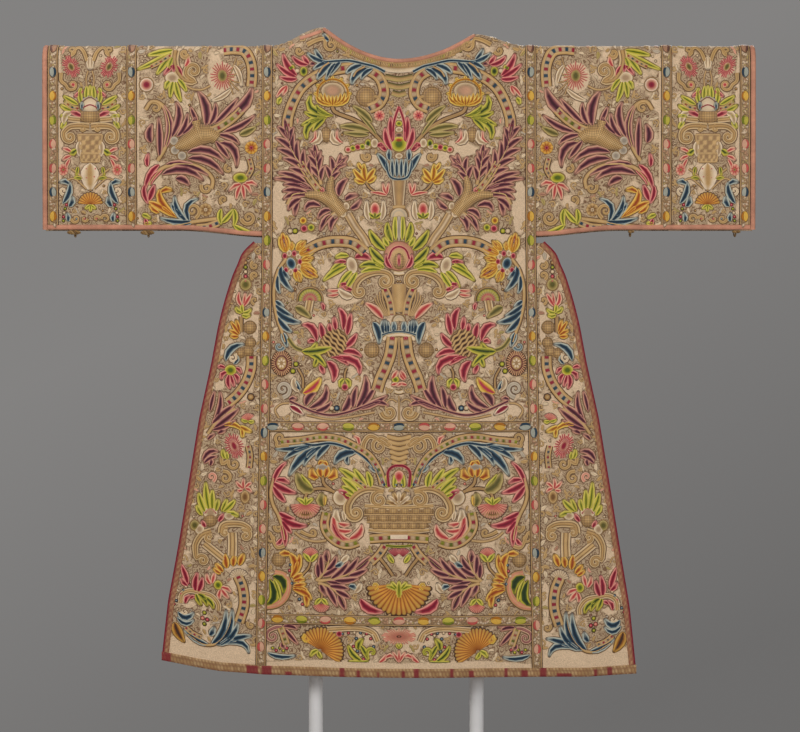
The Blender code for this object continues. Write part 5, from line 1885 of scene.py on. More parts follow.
def draw_upper_middle(work):
    """The stem of motifs down the middle of the breast."""
    for down, half, lean in ((69, 20, 1.5), (78, 14, 2), (86, 12, 2), (93.5, 7, 1.5)):
        tones = (TONES["moss"][0], GOLD, TONES["moss"][2]) if down > 70 else (TAN, CREAM, IVORY)
        bar = [
            (-1, 0, 0.15, SHADOW), (-0.8, 0, 0.6, tones[2]), (0, 0, 0.9, tones[1]), (0.8, 0, 0.5, tones[0]),
            (1, 0.4, 0.1, BROWN),
        ]
        band(work, [(half, down - lean), (0, down + 0.5), (-half, down - lean)], 2.9, bar)
    # Crimson lotus with a striped heart, in a blue cup
    for hand in (-1, 1):
        lobe(work, (hand * 7, 150), (hand * 15, 139), (hand * 13.6, 127), 3.2, "crimson")
        lobe(work, (hand * 6, 142), (hand * 10, 128), (hand * 8, 116), 3.0, "crimson")
        band(work, [(hand * 5.8, 140), (hand * 5.2, 122), (0, 106)], 1.5, satin_columns("crimson"))
        oval(work, (hand * 24.5, 142.5), 3.4, 4.4, "ivory", count=12)
        oval(work, (hand * 31, 143), 2.8, 4.0, "green", count=12)
        lobe(work, (hand * 12, 150), (hand * 17, 148), (hand * 19, 140), 2.8, "crimson")
    for down, half, high, tones in (
        (114, 1.6, 2.6, "ivory"), (123, 3.0, 2.4, "lime"), (129, 3.4, 2.2, "ivory"),
        (134.5, 3.8, 2.2, "dusky"), (143.5, 7.6, 7.4, "lime"),
    ):
        oval(work, (0, down), half, high, tones, count=14)
    oval(work, (0, 140), 5.0, 3.0, "orange", count=12)
    band(
        work, [(-13, 160), (-11.5, 170), (-8, 177), (0, 179), (8, 177), (11.5, 170), (13, 160)], 1.4,
        satin_columns("blue"),
    )
    for hand in (-1, 1):
        lobe(work, (hand * 11, 172), (hand * 14, 160), (hand * 22, 153), 3.2, "blue")
        lobe(work, (hand * 9.6, 160), (hand * 11, 154), (hand * 9.2, 148), 2.6, "blue")
        for across in (2.4, 7.0):
            lobe(work, (hand * across * 0.86, 177), (hand * across, 168), (hand * across, 158), 2.1, "blue")
    oval(work, (0, 155.5), 3.6, 2.6, "ivory", count=12)
    # Gold shaft and ivory dome
    shaft = edge_columns([(-1, 0, 0.6, CREAM), (-0.7, 0, 0.9, TAN), (0, 0, 1.3, GOLD)])
    band(work, [(0, 180), (0, 192), (0, 205)], 6.6, shaft, taper=lambda share: 1 - 0.35 * share)
    band(work, [(-6, 207), (0, 206), (6, 207)], 1.3, RIB)
    dome(work, (0, 216), 9, ("ivory", "ivory", "grey", "ivory", "ivory", "ivory"))
    # Green fans over the rose
    for hand in (-1, 1):
        for base, bend, tip, half in (
            ((6.5, 242), (13, 232), (11.5, 222), 3.6), ((3, 240), (4.4, 228), (3.6, 215), 2.6),
            ((13.5, 250), (25, 242), (29.5, 229.5), 4.2), ((10, 246), (14, 242), (15.5, 236.5), 2.8),
            ((13.5, 263), (25, 256), (29, 246.5), 3.8), ((14.5, 267), (24, 264), (27, 257), 3.0),
            ((15, 268.5), (30, 260), (39.5, 267), 3.6), ((17, 270), (30, 267), (38, 273), 2.8),
        ):
            base, bend, tip = ((hand * across, down) for across, down in (base, bend, tip))
            lobe(work, base, bend, tip, half, "green" if half > 3.5 else "lime")
        lobe(work, (hand * 8, 240), (hand * 12, 232), (hand * 10, 226), 1.4, "green")
    lobe(work, (0, 241), (0, 226), (0, 215), 1.8, "grey")
    oval(work, (0, 256), 14.4, 14.4, (PALE_GOLD, thread(214, 168, 140), thread(196, 138, 116)), count=24)
    work.raised = 0.5
    for hand in (-1, 1):
        lobe(work, (hand * 7, 268), (hand * 14, 264), (hand * 12.4, 254), 2.4, "crimson")
    band(work, [(-10.4, 259), (-7, 250), (0, 246.5), (7, 250), (10.4, 259)], 1.3, satin_columns("crimson"))
    net(work, (0, 260.5), 5.6, 7.6)
    work.raised = 1.4
    lobe(work, (0, 266), (0, 260), (0, 254), 1.5, "crimson")
    work.raised = 0.0
    band(work, [(-5, 272.5), (0, 273.5), (5, 272.5)], 1.6, RIBBON)
    # Shaft between the ribbons, knob and blue crown
    shaft = edge_columns([(-1, 0, 0.6, TAN), (-0.6, 0, 1.0, GOLD), (0, 0, 1.4, PALE_GOLD)])
    band(work, [(0, 284), (0, 298), (0, 312)], 7.4, shaft, taper=lambda share: 1 - 0.25 * share)
    for hand in (-1, 1):
        for n in range(4):
            across, foot = 17 + 2.4 * n, 10 + 1.3 * n
            line = [(hand * across, 289 + 3 * n), (hand * (across - 1.4), 302), (hand * foot, 316)]
            cord(work, line, 0.6)
    dome(work, (0, 321), 6.4, ("ivory", "ivory", "grey", "ivory", "ivory", "ivory"))
    band(work, [(-17, 335), (-9, 332.4), (0, 331.6), (9, 332.4), (17, 335)], 1.0, satin_columns("blue"))
    band(work, [(-15.4, 340), (-12, 336.5), (0, 334.5), (12, 336.5), (15.4, 340)], 1.5, RIBBON)
    for hand in (-1, 1):
        lobe(work, (hand * 3.4, 331), (hand * 5, 326), (hand * 5.4, 320.5), 2.4, "blue")
        lobe(work, (hand * 12.5, 333), (hand * 14.6, 326), (hand * 13.6, 319.5), 2.6, "blue")
        lobe(work, (hand * 7.4, 340), (hand * 7, 338), (hand * 5, 337), 1.8, "crimson")
    cord(work, [(0, 337), (0, 352), (0, 366)], 0.7)
    lobe(work, (6, 380), (1, 377), (0.5, 371), 2.0, "pink")
    lobe(work, (6, 383), (0, 383), (-2.5, 387), 2.0, "pink")
    oval(work, (-3.5, 379.5), 3.2, 3.2, "lime", count=12)
    band(work, [(-4, 391), (0, 392.4), (4, 391)], 1.4, RIBBON)
    cord(work, [(0, 396), (0, 404), (0, 420)], 0.7)
    for hand in (-1, 1):
        across_down = ((2, 402), (7, 399), (12, 402), (13, 410), (9, 416))
        cord(work, [(hand * across, down) for across, down in across_down], 0.8)


def draw_lower(work):
    """Half of the panel between the waist galloon and the low galloon."""
    jewels(
        work, [(118, 442), (97, 440), (77, 437), (59, 439), (42, 447), (29, 456), (20, 470), (16, 483)],
        3.4, LIME_JEWELS, 3.2,
    )
    band(
        work, [(14, 485), (22, 470), (33, 458), (43, 451), (58, 445), (70, 443), (86, 445), (98, 442)], 1.8,
        satin_columns("blue"),
    )
    lobes(work, "blue", [
        ((88, 445), (104, 450), (124, 449), 3.2), ((86, 446), (104, 448), (115, 460), 3.4),
        ((80, 447), (100, 454), (110, 476), 4.8), ((76, 446), (92, 452), (95, 466), 3.6),
        ((68, 444), (80, 450), (82, 460), 3.6), ((42, 452), (60, 450), (64, 464), 4.8),
        ((50, 456), (54, 460), (50, 464), 2.4), ((21, 472), (24, 468), (30, 466), 2.8),
    ])
    cord(work, [(86, 444), (97, 452), (106, 464)], 0.9)
    volute(work, (19.5, 446), 10, 1.6, 270, 1, [(36, 449), (34, 441), (27, 436)], 2.6)
    lobe(work, (40, 445), (38, 436), (46, 436), 2.2, "pink")
    volute(work, (119, 438), 5.5, 1.3, 150, -1, [(110, 446), (122, 446)], 1.6)
    lobes(work, "crimson", [
        ((126, 486), (124, 470), (112, 462), 2.6), ((123, 480), (114, 478), (109, 484), 2.8),
        ((126, 482), (118, 490), (102, 493), 4.0), ((126, 486), (120, 496), (113, 502), 3.4),
        ((120, 512), (114, 518), (103, 519), 3.2), ((118, 516), (108, 528), (91, 525), 4.2),
        ((117, 520), (112, 528), (107, 533), 3.0), ((118, 524), (112, 534), (114, 547), 3.2),
        ((117, 538), (118, 544), (124, 545), 2.4),
    ])
    band(work, [(125, 478), (128, 492), (126, 504), (120, 516), (116, 528), (114, 540)], 1.3, RIB)
    volute(work, (127, 538), 6, 1.2, 20, 1, [(114, 546), (122, 547)], 1.6)
    # Orange blossom, pods and a pink fan on their stems
    stem(work, [(76, 477), (74, 484), (64, 492)], 1.4)
    stem(work, [(94, 499), (90, 491), (78, 488), (64, 491)], 1.4)
    lobes(work, "orange", [
        ((80, 477), (90, 478), (86, 467), 4.2), ((71, 477), (61, 478), (65, 467), 4.2),
        ((77, 477), (80, 470), (78, 465), 3.4), ((74, 477), (70, 470), (72, 465), 3.4),
    ])
    oval(work, (76, 467), 7, 3.4, "grey", count=14)
    lobes(work, "orange", [((80, 465), (78, 460), (75, 462), 2.0), ((71, 466), (73, 461), (76, 462), 2.0)])
    lobe(work, (84, 490), (98, 490), (102, 472), 6.2, "moss")
    lobe(work, (86, 488), (94, 482), (98, 474), 2.6, "lime")
    lobe(work, (75, 506), (80, 500), (76, 492), 4.8, "moss")
    lobe(work, (74, 505), (75, 500), (73, 495), 2.0, "yellow")
    lobes(work, "lime", [
        ((34, 490), (46, 474), (60, 468), 3.8), ((32, 488), (38, 478), (45, 468), 3.4),
        ((28, 487), (28, 478), (32, 471), 3.0), ((40, 492), (50, 482), (57, 477), 3.2),
        ((44, 494), (50, 488), (57, 486), 3.0), ((46, 496), (50, 494), (54, 493), 2.4),
    ])
    jewels(work, [(33, 487), (40, 481), (46, 478)], 2.2, gap=2.6)
    lobes(work, "lime", [((11, 487), (14, 480), (12, 474), 2.4), ((5, 487), (3, 480), (4, 473), 2.4)])
    oval(work, (58, 497), 7, 7.4, "ivory", 20)
    lobes(work, "crimson", [((50, 500), (52, 490), (62, 491), 4.2)])
    fan(work, (93, 503), 15.5, 180, 170, "pink", 15)
    oval(work, (93, 513), 9, 4.0, "gold", count=14)
    lobes(work, "lime", [
        ((93, 505), (96, 500), (102, 498), 2.0), ((93, 505), (93, 500), (93, 496), 2.0),
        ((93, 505), (90, 500), (85, 498), 2.0),
    ])
    volute(work, (19.5, 499), 9.5, 1.35, 330, 1, [(51, 513), (51, 505), (46, 496), (38, 490), (28, 488)], 4.2)
    volute(work, (43, 512), 7.6, 1.35, 90, 1, half=3.6)
    lobes(work, "ivory", [((58, 522), (66, 516), (61, 508), 3.4), ((54, 520), (54, 514), (56, 510), 2.0)])
    lobes(work, "pink", [
        ((64, 512), (68, 540), (46, 539), 4.6), ((50, 538), (36, 536), (37, 523), 4.0),
        ((60, 522), (54, 526), (48, 523), 2.8), ((62, 528), (54, 533), (46, 529), 2.8),
    ])
    lobe(work, (66, 520), (64, 536), (52, 541), 1.8, "crimson")
    jewels(work, [(72, 512), (74, 524), (70, 534), (60, 542), (50, 544), (40, 541)], 4.2, LIME_JEWELS, 4.4)
    cord(work, [(104, 532), (96, 538), (84, 541), (72, 540)], 1.2)
    volute(work, (86, 532), 4, 1.1, 200, 1, [(98, 531), (92, 534)], 1.4)
    volute(work, (120, 528), 4.5, 1.2, 60, 1)
    # Orange half-flower with a green bean
    lobes(work, "orange", [
        ((106, 577), (98, 562), (110, 553), 4.6), ((108, 555), (114, 551), (120, 556), 3.2),
        ((108, 578), (98, 566), (99, 554), 3.8), ((106, 580), (100, 576), (95, 574), 3.0),
        ((105, 582), (98, 579), (93, 580), 2.6), ((105, 586), (98, 586), (92, 584), 2.8),
        ((106, 588), (96, 588), (91, 591), 2.6), ((106, 590), (92, 590), (87, 601), 3.8),
        ((94, 594), (90, 600), (92, 608), 3.0),
    ])
    for n, place in enumerate((
        (108, 565), (109, 571), (111, 576), (107, 584), (100, 582), (103, 596), (99, 600), (96, 605),
    )):
        bead(work, place, 1.6, ("blue", "crimson", "ivory")[n % 3])
    net(work, (120, 560), 6, 6)
    rosy = edge_columns([(-1, 0, 0.5, GOLD), (-0.4, 0, 0.8, TONES["pink"][1]), (0, 0, 0.8, PALE_GOLD)])
    band(work, [(124, 573), (114, 576), (110, 586), (113, 598), (122, 606), (134, 608)], 2.8, rosy)
    lobes(work, "deep", [
        ((126, 577), (111, 577), (115, 595), 5.0), ((129, 580), (117, 603), (135, 607), 4.4),
    ])
    lobe(work, (125, 580), (120, 590), (118, 603), 2.4, "lime")
    # Plum leaf of three plumes
    for spine, rows in (
        ([(82, 581), (74, 572), (70, 562), (71, 554)], [
            ((80, 578), (80, 570), (81, 562)), ((76, 574), (78, 562), (77, 554)),
            ((71, 562), (73, 556), (71, 549), 3.8), ((72, 570), (64, 566), (62, 555)),
            ((76, 576), (66, 572), (59, 565)),
        ]),
        ([(80, 581), (66, 579), (54, 575), (40, 567), (30, 558)], [
            ((68, 579), (56, 572), (49, 560)), ((56, 575), (46, 568), (40, 556)),
            ((44, 570), (34, 564), (28, 555), 3.8), ((50, 575), (40, 574), (31, 568)),
            ((64, 580), (52, 582), (39, 577)), ((72, 581), (60, 584), (50, 582), 2.6),
        ]),
        ([(80, 583), (68, 587), (58, 596), (53, 606)], [
            ((78, 584), (76, 590), (71, 597)), ((72, 586), (66, 596), (61, 607)),
            ((60, 594), (56, 602), (53, 610), 3.8), ((64, 590), (54, 594), (48, 598)),
            ((70, 586), (58, 586), (49, 589)),
        ]),
    ):
        lobes(work, "plum", rows, 3.3)
        band(work, spine, 1.3, RIB, taper=narrowing)
    lobes(work, "blue", [((64, 566), (58, 566), (55, 560), 2.8), ((50, 586), (44, 584), (42, 590), 2.8)])
    lobes(work, "ivory", [((58, 562), (52, 558), (50, 554), 2.8), ((44, 592), (38, 588), (38, 582), 2.8)])
    fan(work, (88, 556), 9, 0, 130, "pink", 11)
    lobes(work, "lime", [((88, 562), (92, 556), (95, 553), 2.4), ((88, 562), (84, 556), (81, 553), 2.4)])
    stem(work, [(88, 561), (90, 568), (96, 575)], 1.0)
    fan(work, (77, 604), 9, 180, 150, "pink", 11)
    lobes(work, "lime", [((77, 599), (81, 601), (83, 606), 2.2), ((77, 599), (73, 601), (71, 606), 2.2)])
    stem(work, [(77, 599), (76, 594), (80, 590)], 1.0)
    lobe(work, (38, 598), (34, 612), (15, 611), 4.6, "crimson")
    fan(work, (4, 556), 9, 0, 100, "crimson", 9)
    lobes(work, "lime", [((5, 562), (9, 558), (11, 553), 2.2)])
    stem(work, [(19, 557), (12, 566), (6, 575)], 1.4)
    jewels(work, [(14, 545), (20, 554), (28, 562)], 3.6, gap=3.6)


def draw_lower_middle(work):
    """The basket and the fan, down the middle of the skirt."""
    for n in range(6):
        band(work, [(-12 + n, 436 + n * 5), (0, 438.5 + n * 5), (12 - n, 436 + n * 5)], 1.7, RIB)
    band(
        work, [(-10, 486), (-11, 472), (-6, 466), (0, 465), (6, 466), (11, 472), (10, 486)], 1.9,
        narrow_columns("crimson"),
    )
    oval(work, (0, 476), 5, 6, "pink")
    for across in (-3, 3):
        bead(work, (across, 484), 1.5, "blue")
    for n in range(7):
        turn = math.radians((n - 3) * 26)
        top = np.array((14 * math.sin(turn), 503 - 13 * math.cos(turn)))
        lobe(work, (0, 504), top * 0.5 + (0, 252), top, 2.4, TONES["ivory" if n % 2 else "gold"])
    for row in range(3):
        half = 33.5 - row * 2.6
        for n in range(6):
            places = np.linspace(-half, half, 7)
            net(work, ((places[n] + places[n + 1]) / 2, 510 + row * 7.4), half / 6.3, 3.7)
        cord(work, [(-half - 1, 513.7 + row * 7.4), (half + 1, 513.7 + row * 7.4)], 0.8)
    band(work, [(-34, 505), (0, 507), (34, 505)], 2.2, SCROLL)
    band(work, [(-30, 529), (-16, 530.5), (0, 531), (16, 530.5), (30, 529)], 1.6, SCROLL)
    jewels(work, [(-29, 538), (-16, 537), (0, 536.5), (16, 537), (29, 538)], 4.2, LIME_JEWELS, 4.6)
    striped = [(-1, 0, 0.7, CRIMSON), (-0.62, 0, 0.9, CRIMSON), (-0.5, 0, 1.1, IVORY), (0, 0, 1.2, IVORY)]
    band(work, [(-8.5, 536), (8.5, 536)], 4.0, edge_columns(striped))
    band(work, [(-13, 544.5), (0, 545.5), (13, 544.5)], 1.6, narrow_columns("green"))
    fan(work, (0, 583), 31.5, 180, 172, "orange", 17)
    for sign in (-1, 1):
        volute(work, (sign * 24, 585), 4.0, 1.0, 180, sign, half=2.2, tones="yellow")
        lobes(work, "lime", [
            ((sign * 2, 590), (sign * 8, 584), (sign * 14, 586), 2.6),
            ((sign, 590), (sign * 5, 584), (sign * 8, 581), 2.2),
        ])
    lobe(work, (0, 598), (0, 590), (0, 580), 3.4, "lime")


def draw_border(work):
    """Half of the strip below the low galloon."""
    volute(work, (126, 638), 7.5, 1.3, 0, 1, [(117, 629), (122, 629)], 2.2, "plum")
    lobes(work, "plum", [
        ((116, 628), (106, 626), (101, 631)), ((114, 630), (108, 638), (100, 646)),
        ((116, 644), (117, 648), (113, 651), 3.0), ((112, 628), (104, 622), (98, 628), 2.0),
    ], 2.6)
    jewels(work, [(118, 629), (115, 637), (112, 646)], 3.4, LIME_JEWELS, 2.8)
    lobes(work, "blue", [
        ((131, 655), (118, 662), (103, 657), 2.6), ((136, 660), (137, 654), (134, 650), 2.0),
    ])
    for n in range(5):
        bead(work, (126 - n * 3.6, 650 + 2.5 * (n % 2)), 1.5, ("lime", "crimson", "green")[n % 3])
    fan(work, (78, 651), 23, -32, 186, "orange", 19)
    volute(work, (91, 640), 4.5, 1.0, 20, 1, half=2.0, tones="yellow")
    lobes(work, "lime", [((80, 651), (86, 652), (88, 658), 2.4), ((80, 652), (80, 656), (76, 659), 2.2)])
    band(work, [(71, 630), (60, 629), (46, 628), (34, 629), (25, 633), (21, 641)], 2.6, SCROLL)
    for n in range(6):
        bead(work, (56 - n * 6, 634 - 1.5 * math.sin(n * 0.7)), 1.4, ("blue", "crimson", "ivory")[n % 3])
    for n in range(6):
        bead(
            work, (35 - 10 * math.sin(n * 0.8 - 1.6), 646 - 11 * math.cos(n * 0.8 - 1.6)), 1.5,
            ("crimson", "blue", "ivory")[n % 3],
        )
    lobes(work, "green", [
        ((40, 650), (42, 643), (35, 638), 3.2), ((38, 645), (34, 650), (30, 660), 2.4),
        ((36, 661), (48, 656), (50, 645), 3.0), ((30, 661), (40, 664), (50, 661), 2.6),
    ])
    volute(work, (27, 652), 5.5, 1.1, 130, -1, half=2.0, tones="green")
    for n in range(3):
        bead(work, (41 - n * 3, 651 + n * 4), 1.6, ("blue", "ivory", "crimson")[n])
    oval(work, (59, 634), 3.0, 3.0, "crimson", count=10)
    lobes(work, "pink", [((20, 662), (14, 660), (12, 653), 2.2), ((14, 658), (8, 652), (5, 657), 2.2)])


def draw_border_middle(work):
    oval(
        work, (0, 636), 15, 6.6, (thread(186, 120, 104), thread(206, 148, 126), CREAM), 0, 24,
        outlined=False,
    )
    spiked(
        work, np.array([0.0, 636.0]), 17.5, 8.5, "pink", (thread(96, 60, 44), thread(140, 92, 70), GOLD),
        34,
    )
    calyx(work, (0, 648), 0, 6, "lime", 2)
    spray(work, (0, 662), [(-7, 651), (0, 649), (7, 651)], "pink", 1.8)


def draw_gore(work):
    """The gores, from the underarm to the hem."""
    volute(work, (145, 265), 4.4, 1.3, 20, 1, half=1.4)
    volute(work, (145, 275), 4.4, 1.3, 160, -1, half=1.4)
    for n in range(4):
        bead(work, (154, 262 + n * 4.6), 1.9, ("gold", "green", "ivory", "crimson")[n])
    oval(work, (154, 284), 5.2, 5.4, "moss", count=14)
    bead(work, (154, 280.5), 1.2, "crimson")
    lobes(work, "pink", [
        ((157, 306), (164, 300), (160, 291)), ((156, 306), (152, 300), (148, 293)),
        ((156, 305), (155, 298), (154, 292), 1.8),
    ], 2.3)
    volute(work, (145, 300), 4, 1.1, 180, -1, half=1.2)
    lobes(work, "lime", [
        ((157, 312), (163, 312), (164, 306)), ((157, 312), (158, 308), (158, 303)),
        ((157, 312), (152, 314), (148, 308)), ((158, 314), (153, 318), (149, 314)),
    ], 2.1)
    stem(work, [(158.5, 316), (158.5, 332)], 1.8)
    lobes(work, "orange", [
        ((160, 334), (164, 328), (169, 321)), ((161, 335), (166, 331), (171, 330)),
        ((161, 336), (166, 337), (170, 335)), ((160, 332), (161, 326), (164, 319)),
    ], 2.2)
    for place, size in (((149.6, 327), 5.6), ((149, 342.5), 4.4), ((151.5, 351), 4.4), ((159, 353), 4.0)):
        net(work, place, size)
    lobes(work, "blue", [
        ((174, 361), (172, 344), (155, 344), 3.6), ((166, 364), (160, 360), (163, 354), 2.2),
    ])
    volute(work, (167, 358), 5, 1.2, 330, -1, half=1.5, tones="ivory")
    jewels(work, [(148, 356), (148.6, 369), (153.6, 383), (162, 395), (171, 403)], 4.8)
    oval(work, (169, 370), 5.6, 5.0, "lime", count=14)
    lobes(work, "crimson", [
        ((172, 372), (180, 372), (178, 380)), ((170, 374), (174, 382), (169, 389)),
        ((166, 374), (160, 376), (162, 384)), ((169, 374), (167, 382), (165, 387), 2.0),
        ((164, 368), (160, 368), (158, 374), 2.0), ((174, 368), (180, 364), (182, 368), 2.0),
    ], 2.5)
    lobes(work, "plum", [
        ((186, 420), (176, 408), (180, 391)), ((190, 412), (188, 400), (185, 391), 2.4),
        ((188, 424), (176, 412), (164, 404), 3.8), ((186, 428), (172, 420), (160, 408), 3.6),
        ((188, 430), (174, 428), (163, 420), 3.0), ((182, 434), (178, 430), (173, 431), 2.6),
        ((192, 440), (190, 436), (184, 434), 2.2),
    ], 3.0)
    band(work, [(192, 434), (184, 423), (174, 414), (164, 409)], 1.2, RIB)
    bead(work, (148.6, 397), 3.2, "gold")
    fan(work, (151, 421), 8, 10, 120, "pink", 9)
    lobes(work, "lime", [
        ((151, 421), (155, 422), (158, 419), 1.8), ((151, 421), (148, 423), (145, 421), 1.8),
    ])
    lobes(work, "yellow", [
        ((178, 426), (164, 420), (156, 432), 2.6), ((160, 426), (154, 430), (147, 432), 2.8),
        ((158, 428), (156, 434), (157, 438), 2.2),
    ])
    spiked(work, np.array([165.0, 446.0]), 9.5, 14, "crimson", "gold", 26, 24)
    oval(work, (165, 446), 4.2, 8, CORAL, 24, 14)
    lobes(work, "plum", [
        ((197, 461), (192, 448), (181, 452), 3.2), ((196, 464), (190, 456), (182, 457), 2.4),
        ((190, 466), (187, 462), (189, 458), 2.6),
    ])
    lobes(work, "lime", [
        ((174, 459), (178, 455), (176, 449), 2.2), ((172, 460), (172, 455), (173, 452), 1.8),
    ])
    volute(work, (165, 464), 6.5, 1.2, 60, 1, [(178, 458), (177, 464)], 1.8)
    jewels(work, [(151, 446), (149, 456), (150, 468)], 2.6, gap=2.6)
    volute(work, (188, 477), 5, 1.3, 200, 1, tones="pink")
    volute(work, (174, 478), 7, 1.3, 20, -1)
    lobes(work, "pink", [
        ((155, 489), (161, 486), (163, 481)), ((155, 489), (157, 484), (155, 478)),
        ((154, 489), (150, 488), (147, 493)), ((154, 488), (150, 483), (147, 483)),
        ((156, 490), (160, 492), (162, 490)),
    ], 1.9)
    oval(work, (154, 497), 4, 6, "gold", count=12)
    # Egg-shaped bud on lime spikes, over two capitals
    lobes(work, "lime", [
        ((190, 512), (194, 498), (194, 482), 3.4), ((194, 513), (200, 502), (201, 493), 3.2),
        ((187, 511), (188, 500), (187, 490), 3.2), ((197, 516), (202, 510), (203, 505), 2.6),
        ((184, 512), (182, 504), (181, 499), 2.8), ((176, 512), (168, 506), (164, 500), 3.0),
        ((174, 514), (165, 512), (160, 517), 2.8), ((178, 512), (174, 504), (172, 499), 2.4),
    ])
    oval(work, (189, 513), 7, 6, "ivory", count=14)
    net(work, (189, 520), 6, 6.5)
    band(work, [(195, 514), (189, 509), (183, 514)], 0.8, narrow_columns("crimson"))
    lobes(work, "crimson", [
        ((181, 522), (178, 518), (175, 514), 2.4), ((194, 528), (196, 525), (198, 521), 2.4),
    ])
    oval(work, (170, 516), 5, 4, "ivory", count=12)
    oval(work, (200, 530), 4.5, 5, "ivory", count=12)
    oval(work, (205, 526), 4.5, 5, "moss", count=12)
    band(work, [(167, 533), (166.5, 545), (167, 557)], 4.4, SCROLL)
    band(work, [(195, 545), (185, 553), (175, 561)], 3.8, SCROLL)
    volute(
        work, (153.5, 536), 6.4, 1.3, 30, -1, [(178, 534), (176, 526), (167, 524), (156, 525), (149, 530)],
        3.6,
    )
    volute(work, (174, 533), 5.2, 1.2, 330, 1, half=2.4)
    volute(work, (197, 563), 6.4, 1.3, 70, -1, [(188, 532), (198, 536), (204, 546), (204, 556)], 3.6)
    volute(work, (190, 538), 5.0, 1.2, 200, -1, half=2.4)
    lobes(work, "orange", [
        ((176, 574), (180, 570), (184, 565), 2.8), ((172, 570), (174, 563), (174, 555), 3.4),
        ((166, 568), (166, 561), (164, 556), 3.2), ((160, 567), (158, 560), (155, 554), 3.2),
        ((178, 576), (183, 574), (186, 570), 2.2),
    ])
    fan(work, (160, 580), 10, 10, 150, "ivory", 9)
    jewels(work, [(161, 578), (156, 591), (155, 608), (160, 626)], 4.8)
    lobes(work, "crimson", [
        ((204, 598), (206, 588), (202, 576), 3.4), ((202, 598), (198, 590), (197, 581), 3.2),
        ((212, 590), (214, 580), (219, 568), 3.0), ((212, 592), (217, 590), (219, 583), 2.6),
    ])
    lobes(work, "pink", [
        ((188, 588), (194, 584), (192, 576), 2.4), ((187, 587), (186, 580), (184, 575), 2.4),
        ((178, 592), (182, 600), (179, 603), 2.4), ((178, 592), (174, 598), (170, 602), 2.6),
        ((179, 590), (170, 590), (168, 596), 2.4),
    ])
    oval(work, (181, 588), 4, 4.6, "lime", count=12)
    band(
        work, [(219, 612), (218, 602), (210, 597), (200, 598), (188, 600), (181, 608), (181, 615)], 2.4,
        SCROLL,
    )
    lobes(work, "green", [
        ((202, 600), (194, 600), (192, 612), 3.8), ((198, 602), (186, 604), (186, 614), 3.0),
        ((204, 599), (202, 606), (198, 612), 2.8),
    ])
    lobes(work, "crimson", [
        ((214, 612), (216, 604), (208, 602), 2.4), ((210, 606), (208, 602), (204, 603), 1.8),
    ])
    for n in range(7):
        bead(work, (226 - n * 2.4, 614 - n * 4.2), 1.5, ("crimson", "blue", "ivory")[n % 3])
    # Blue acanthus in the corner
    lobes(work, "blue", [
        ((188, 651), (172, 640), (173, 613), 4.0), ((184, 651), (166, 642), (167, 612), 4.2),
        ((182, 651), (164, 644), (161, 626), 3.8), ((180, 651), (162, 640), (147, 639), 3.6),
        ((176, 649), (152, 640), (150, 657), 3.2), ((190, 652), (204, 652), (216, 640), 3.2),
        ((222, 622), (214, 634), (206, 620), 4.0), ((223, 628), (214, 640), (206, 628), 2.6),
        ((190, 642), (186, 640), (185, 632), 3.2),
    ])
    band(work, [(212, 645), (198, 652), (186, 651), (176, 642), (170, 630), (168, 620)], 1.1, RIB)
    volute(work, (215, 621), 3.6, 1.0, 90, 1, half=1.2, tones="ivory")
    jewels(work, [(214, 638), (207, 643), (198, 646)], 2.4, gap=2.4)
    for n, place in enumerate(((195, 619), (197, 625), (192, 626), (195, 631))):
        bead(work, place, 2.0, ("lime", "pink", "crimson", "green")[n])
    lobe(work, (225, 634), (224, 645), (215, 654), 5.0, (BROWN, thread(176, 120, 40), thread(206, 166, 84)))
    volute(work, (148, 628), 4, 1.2, 40, 1, half=1.4)


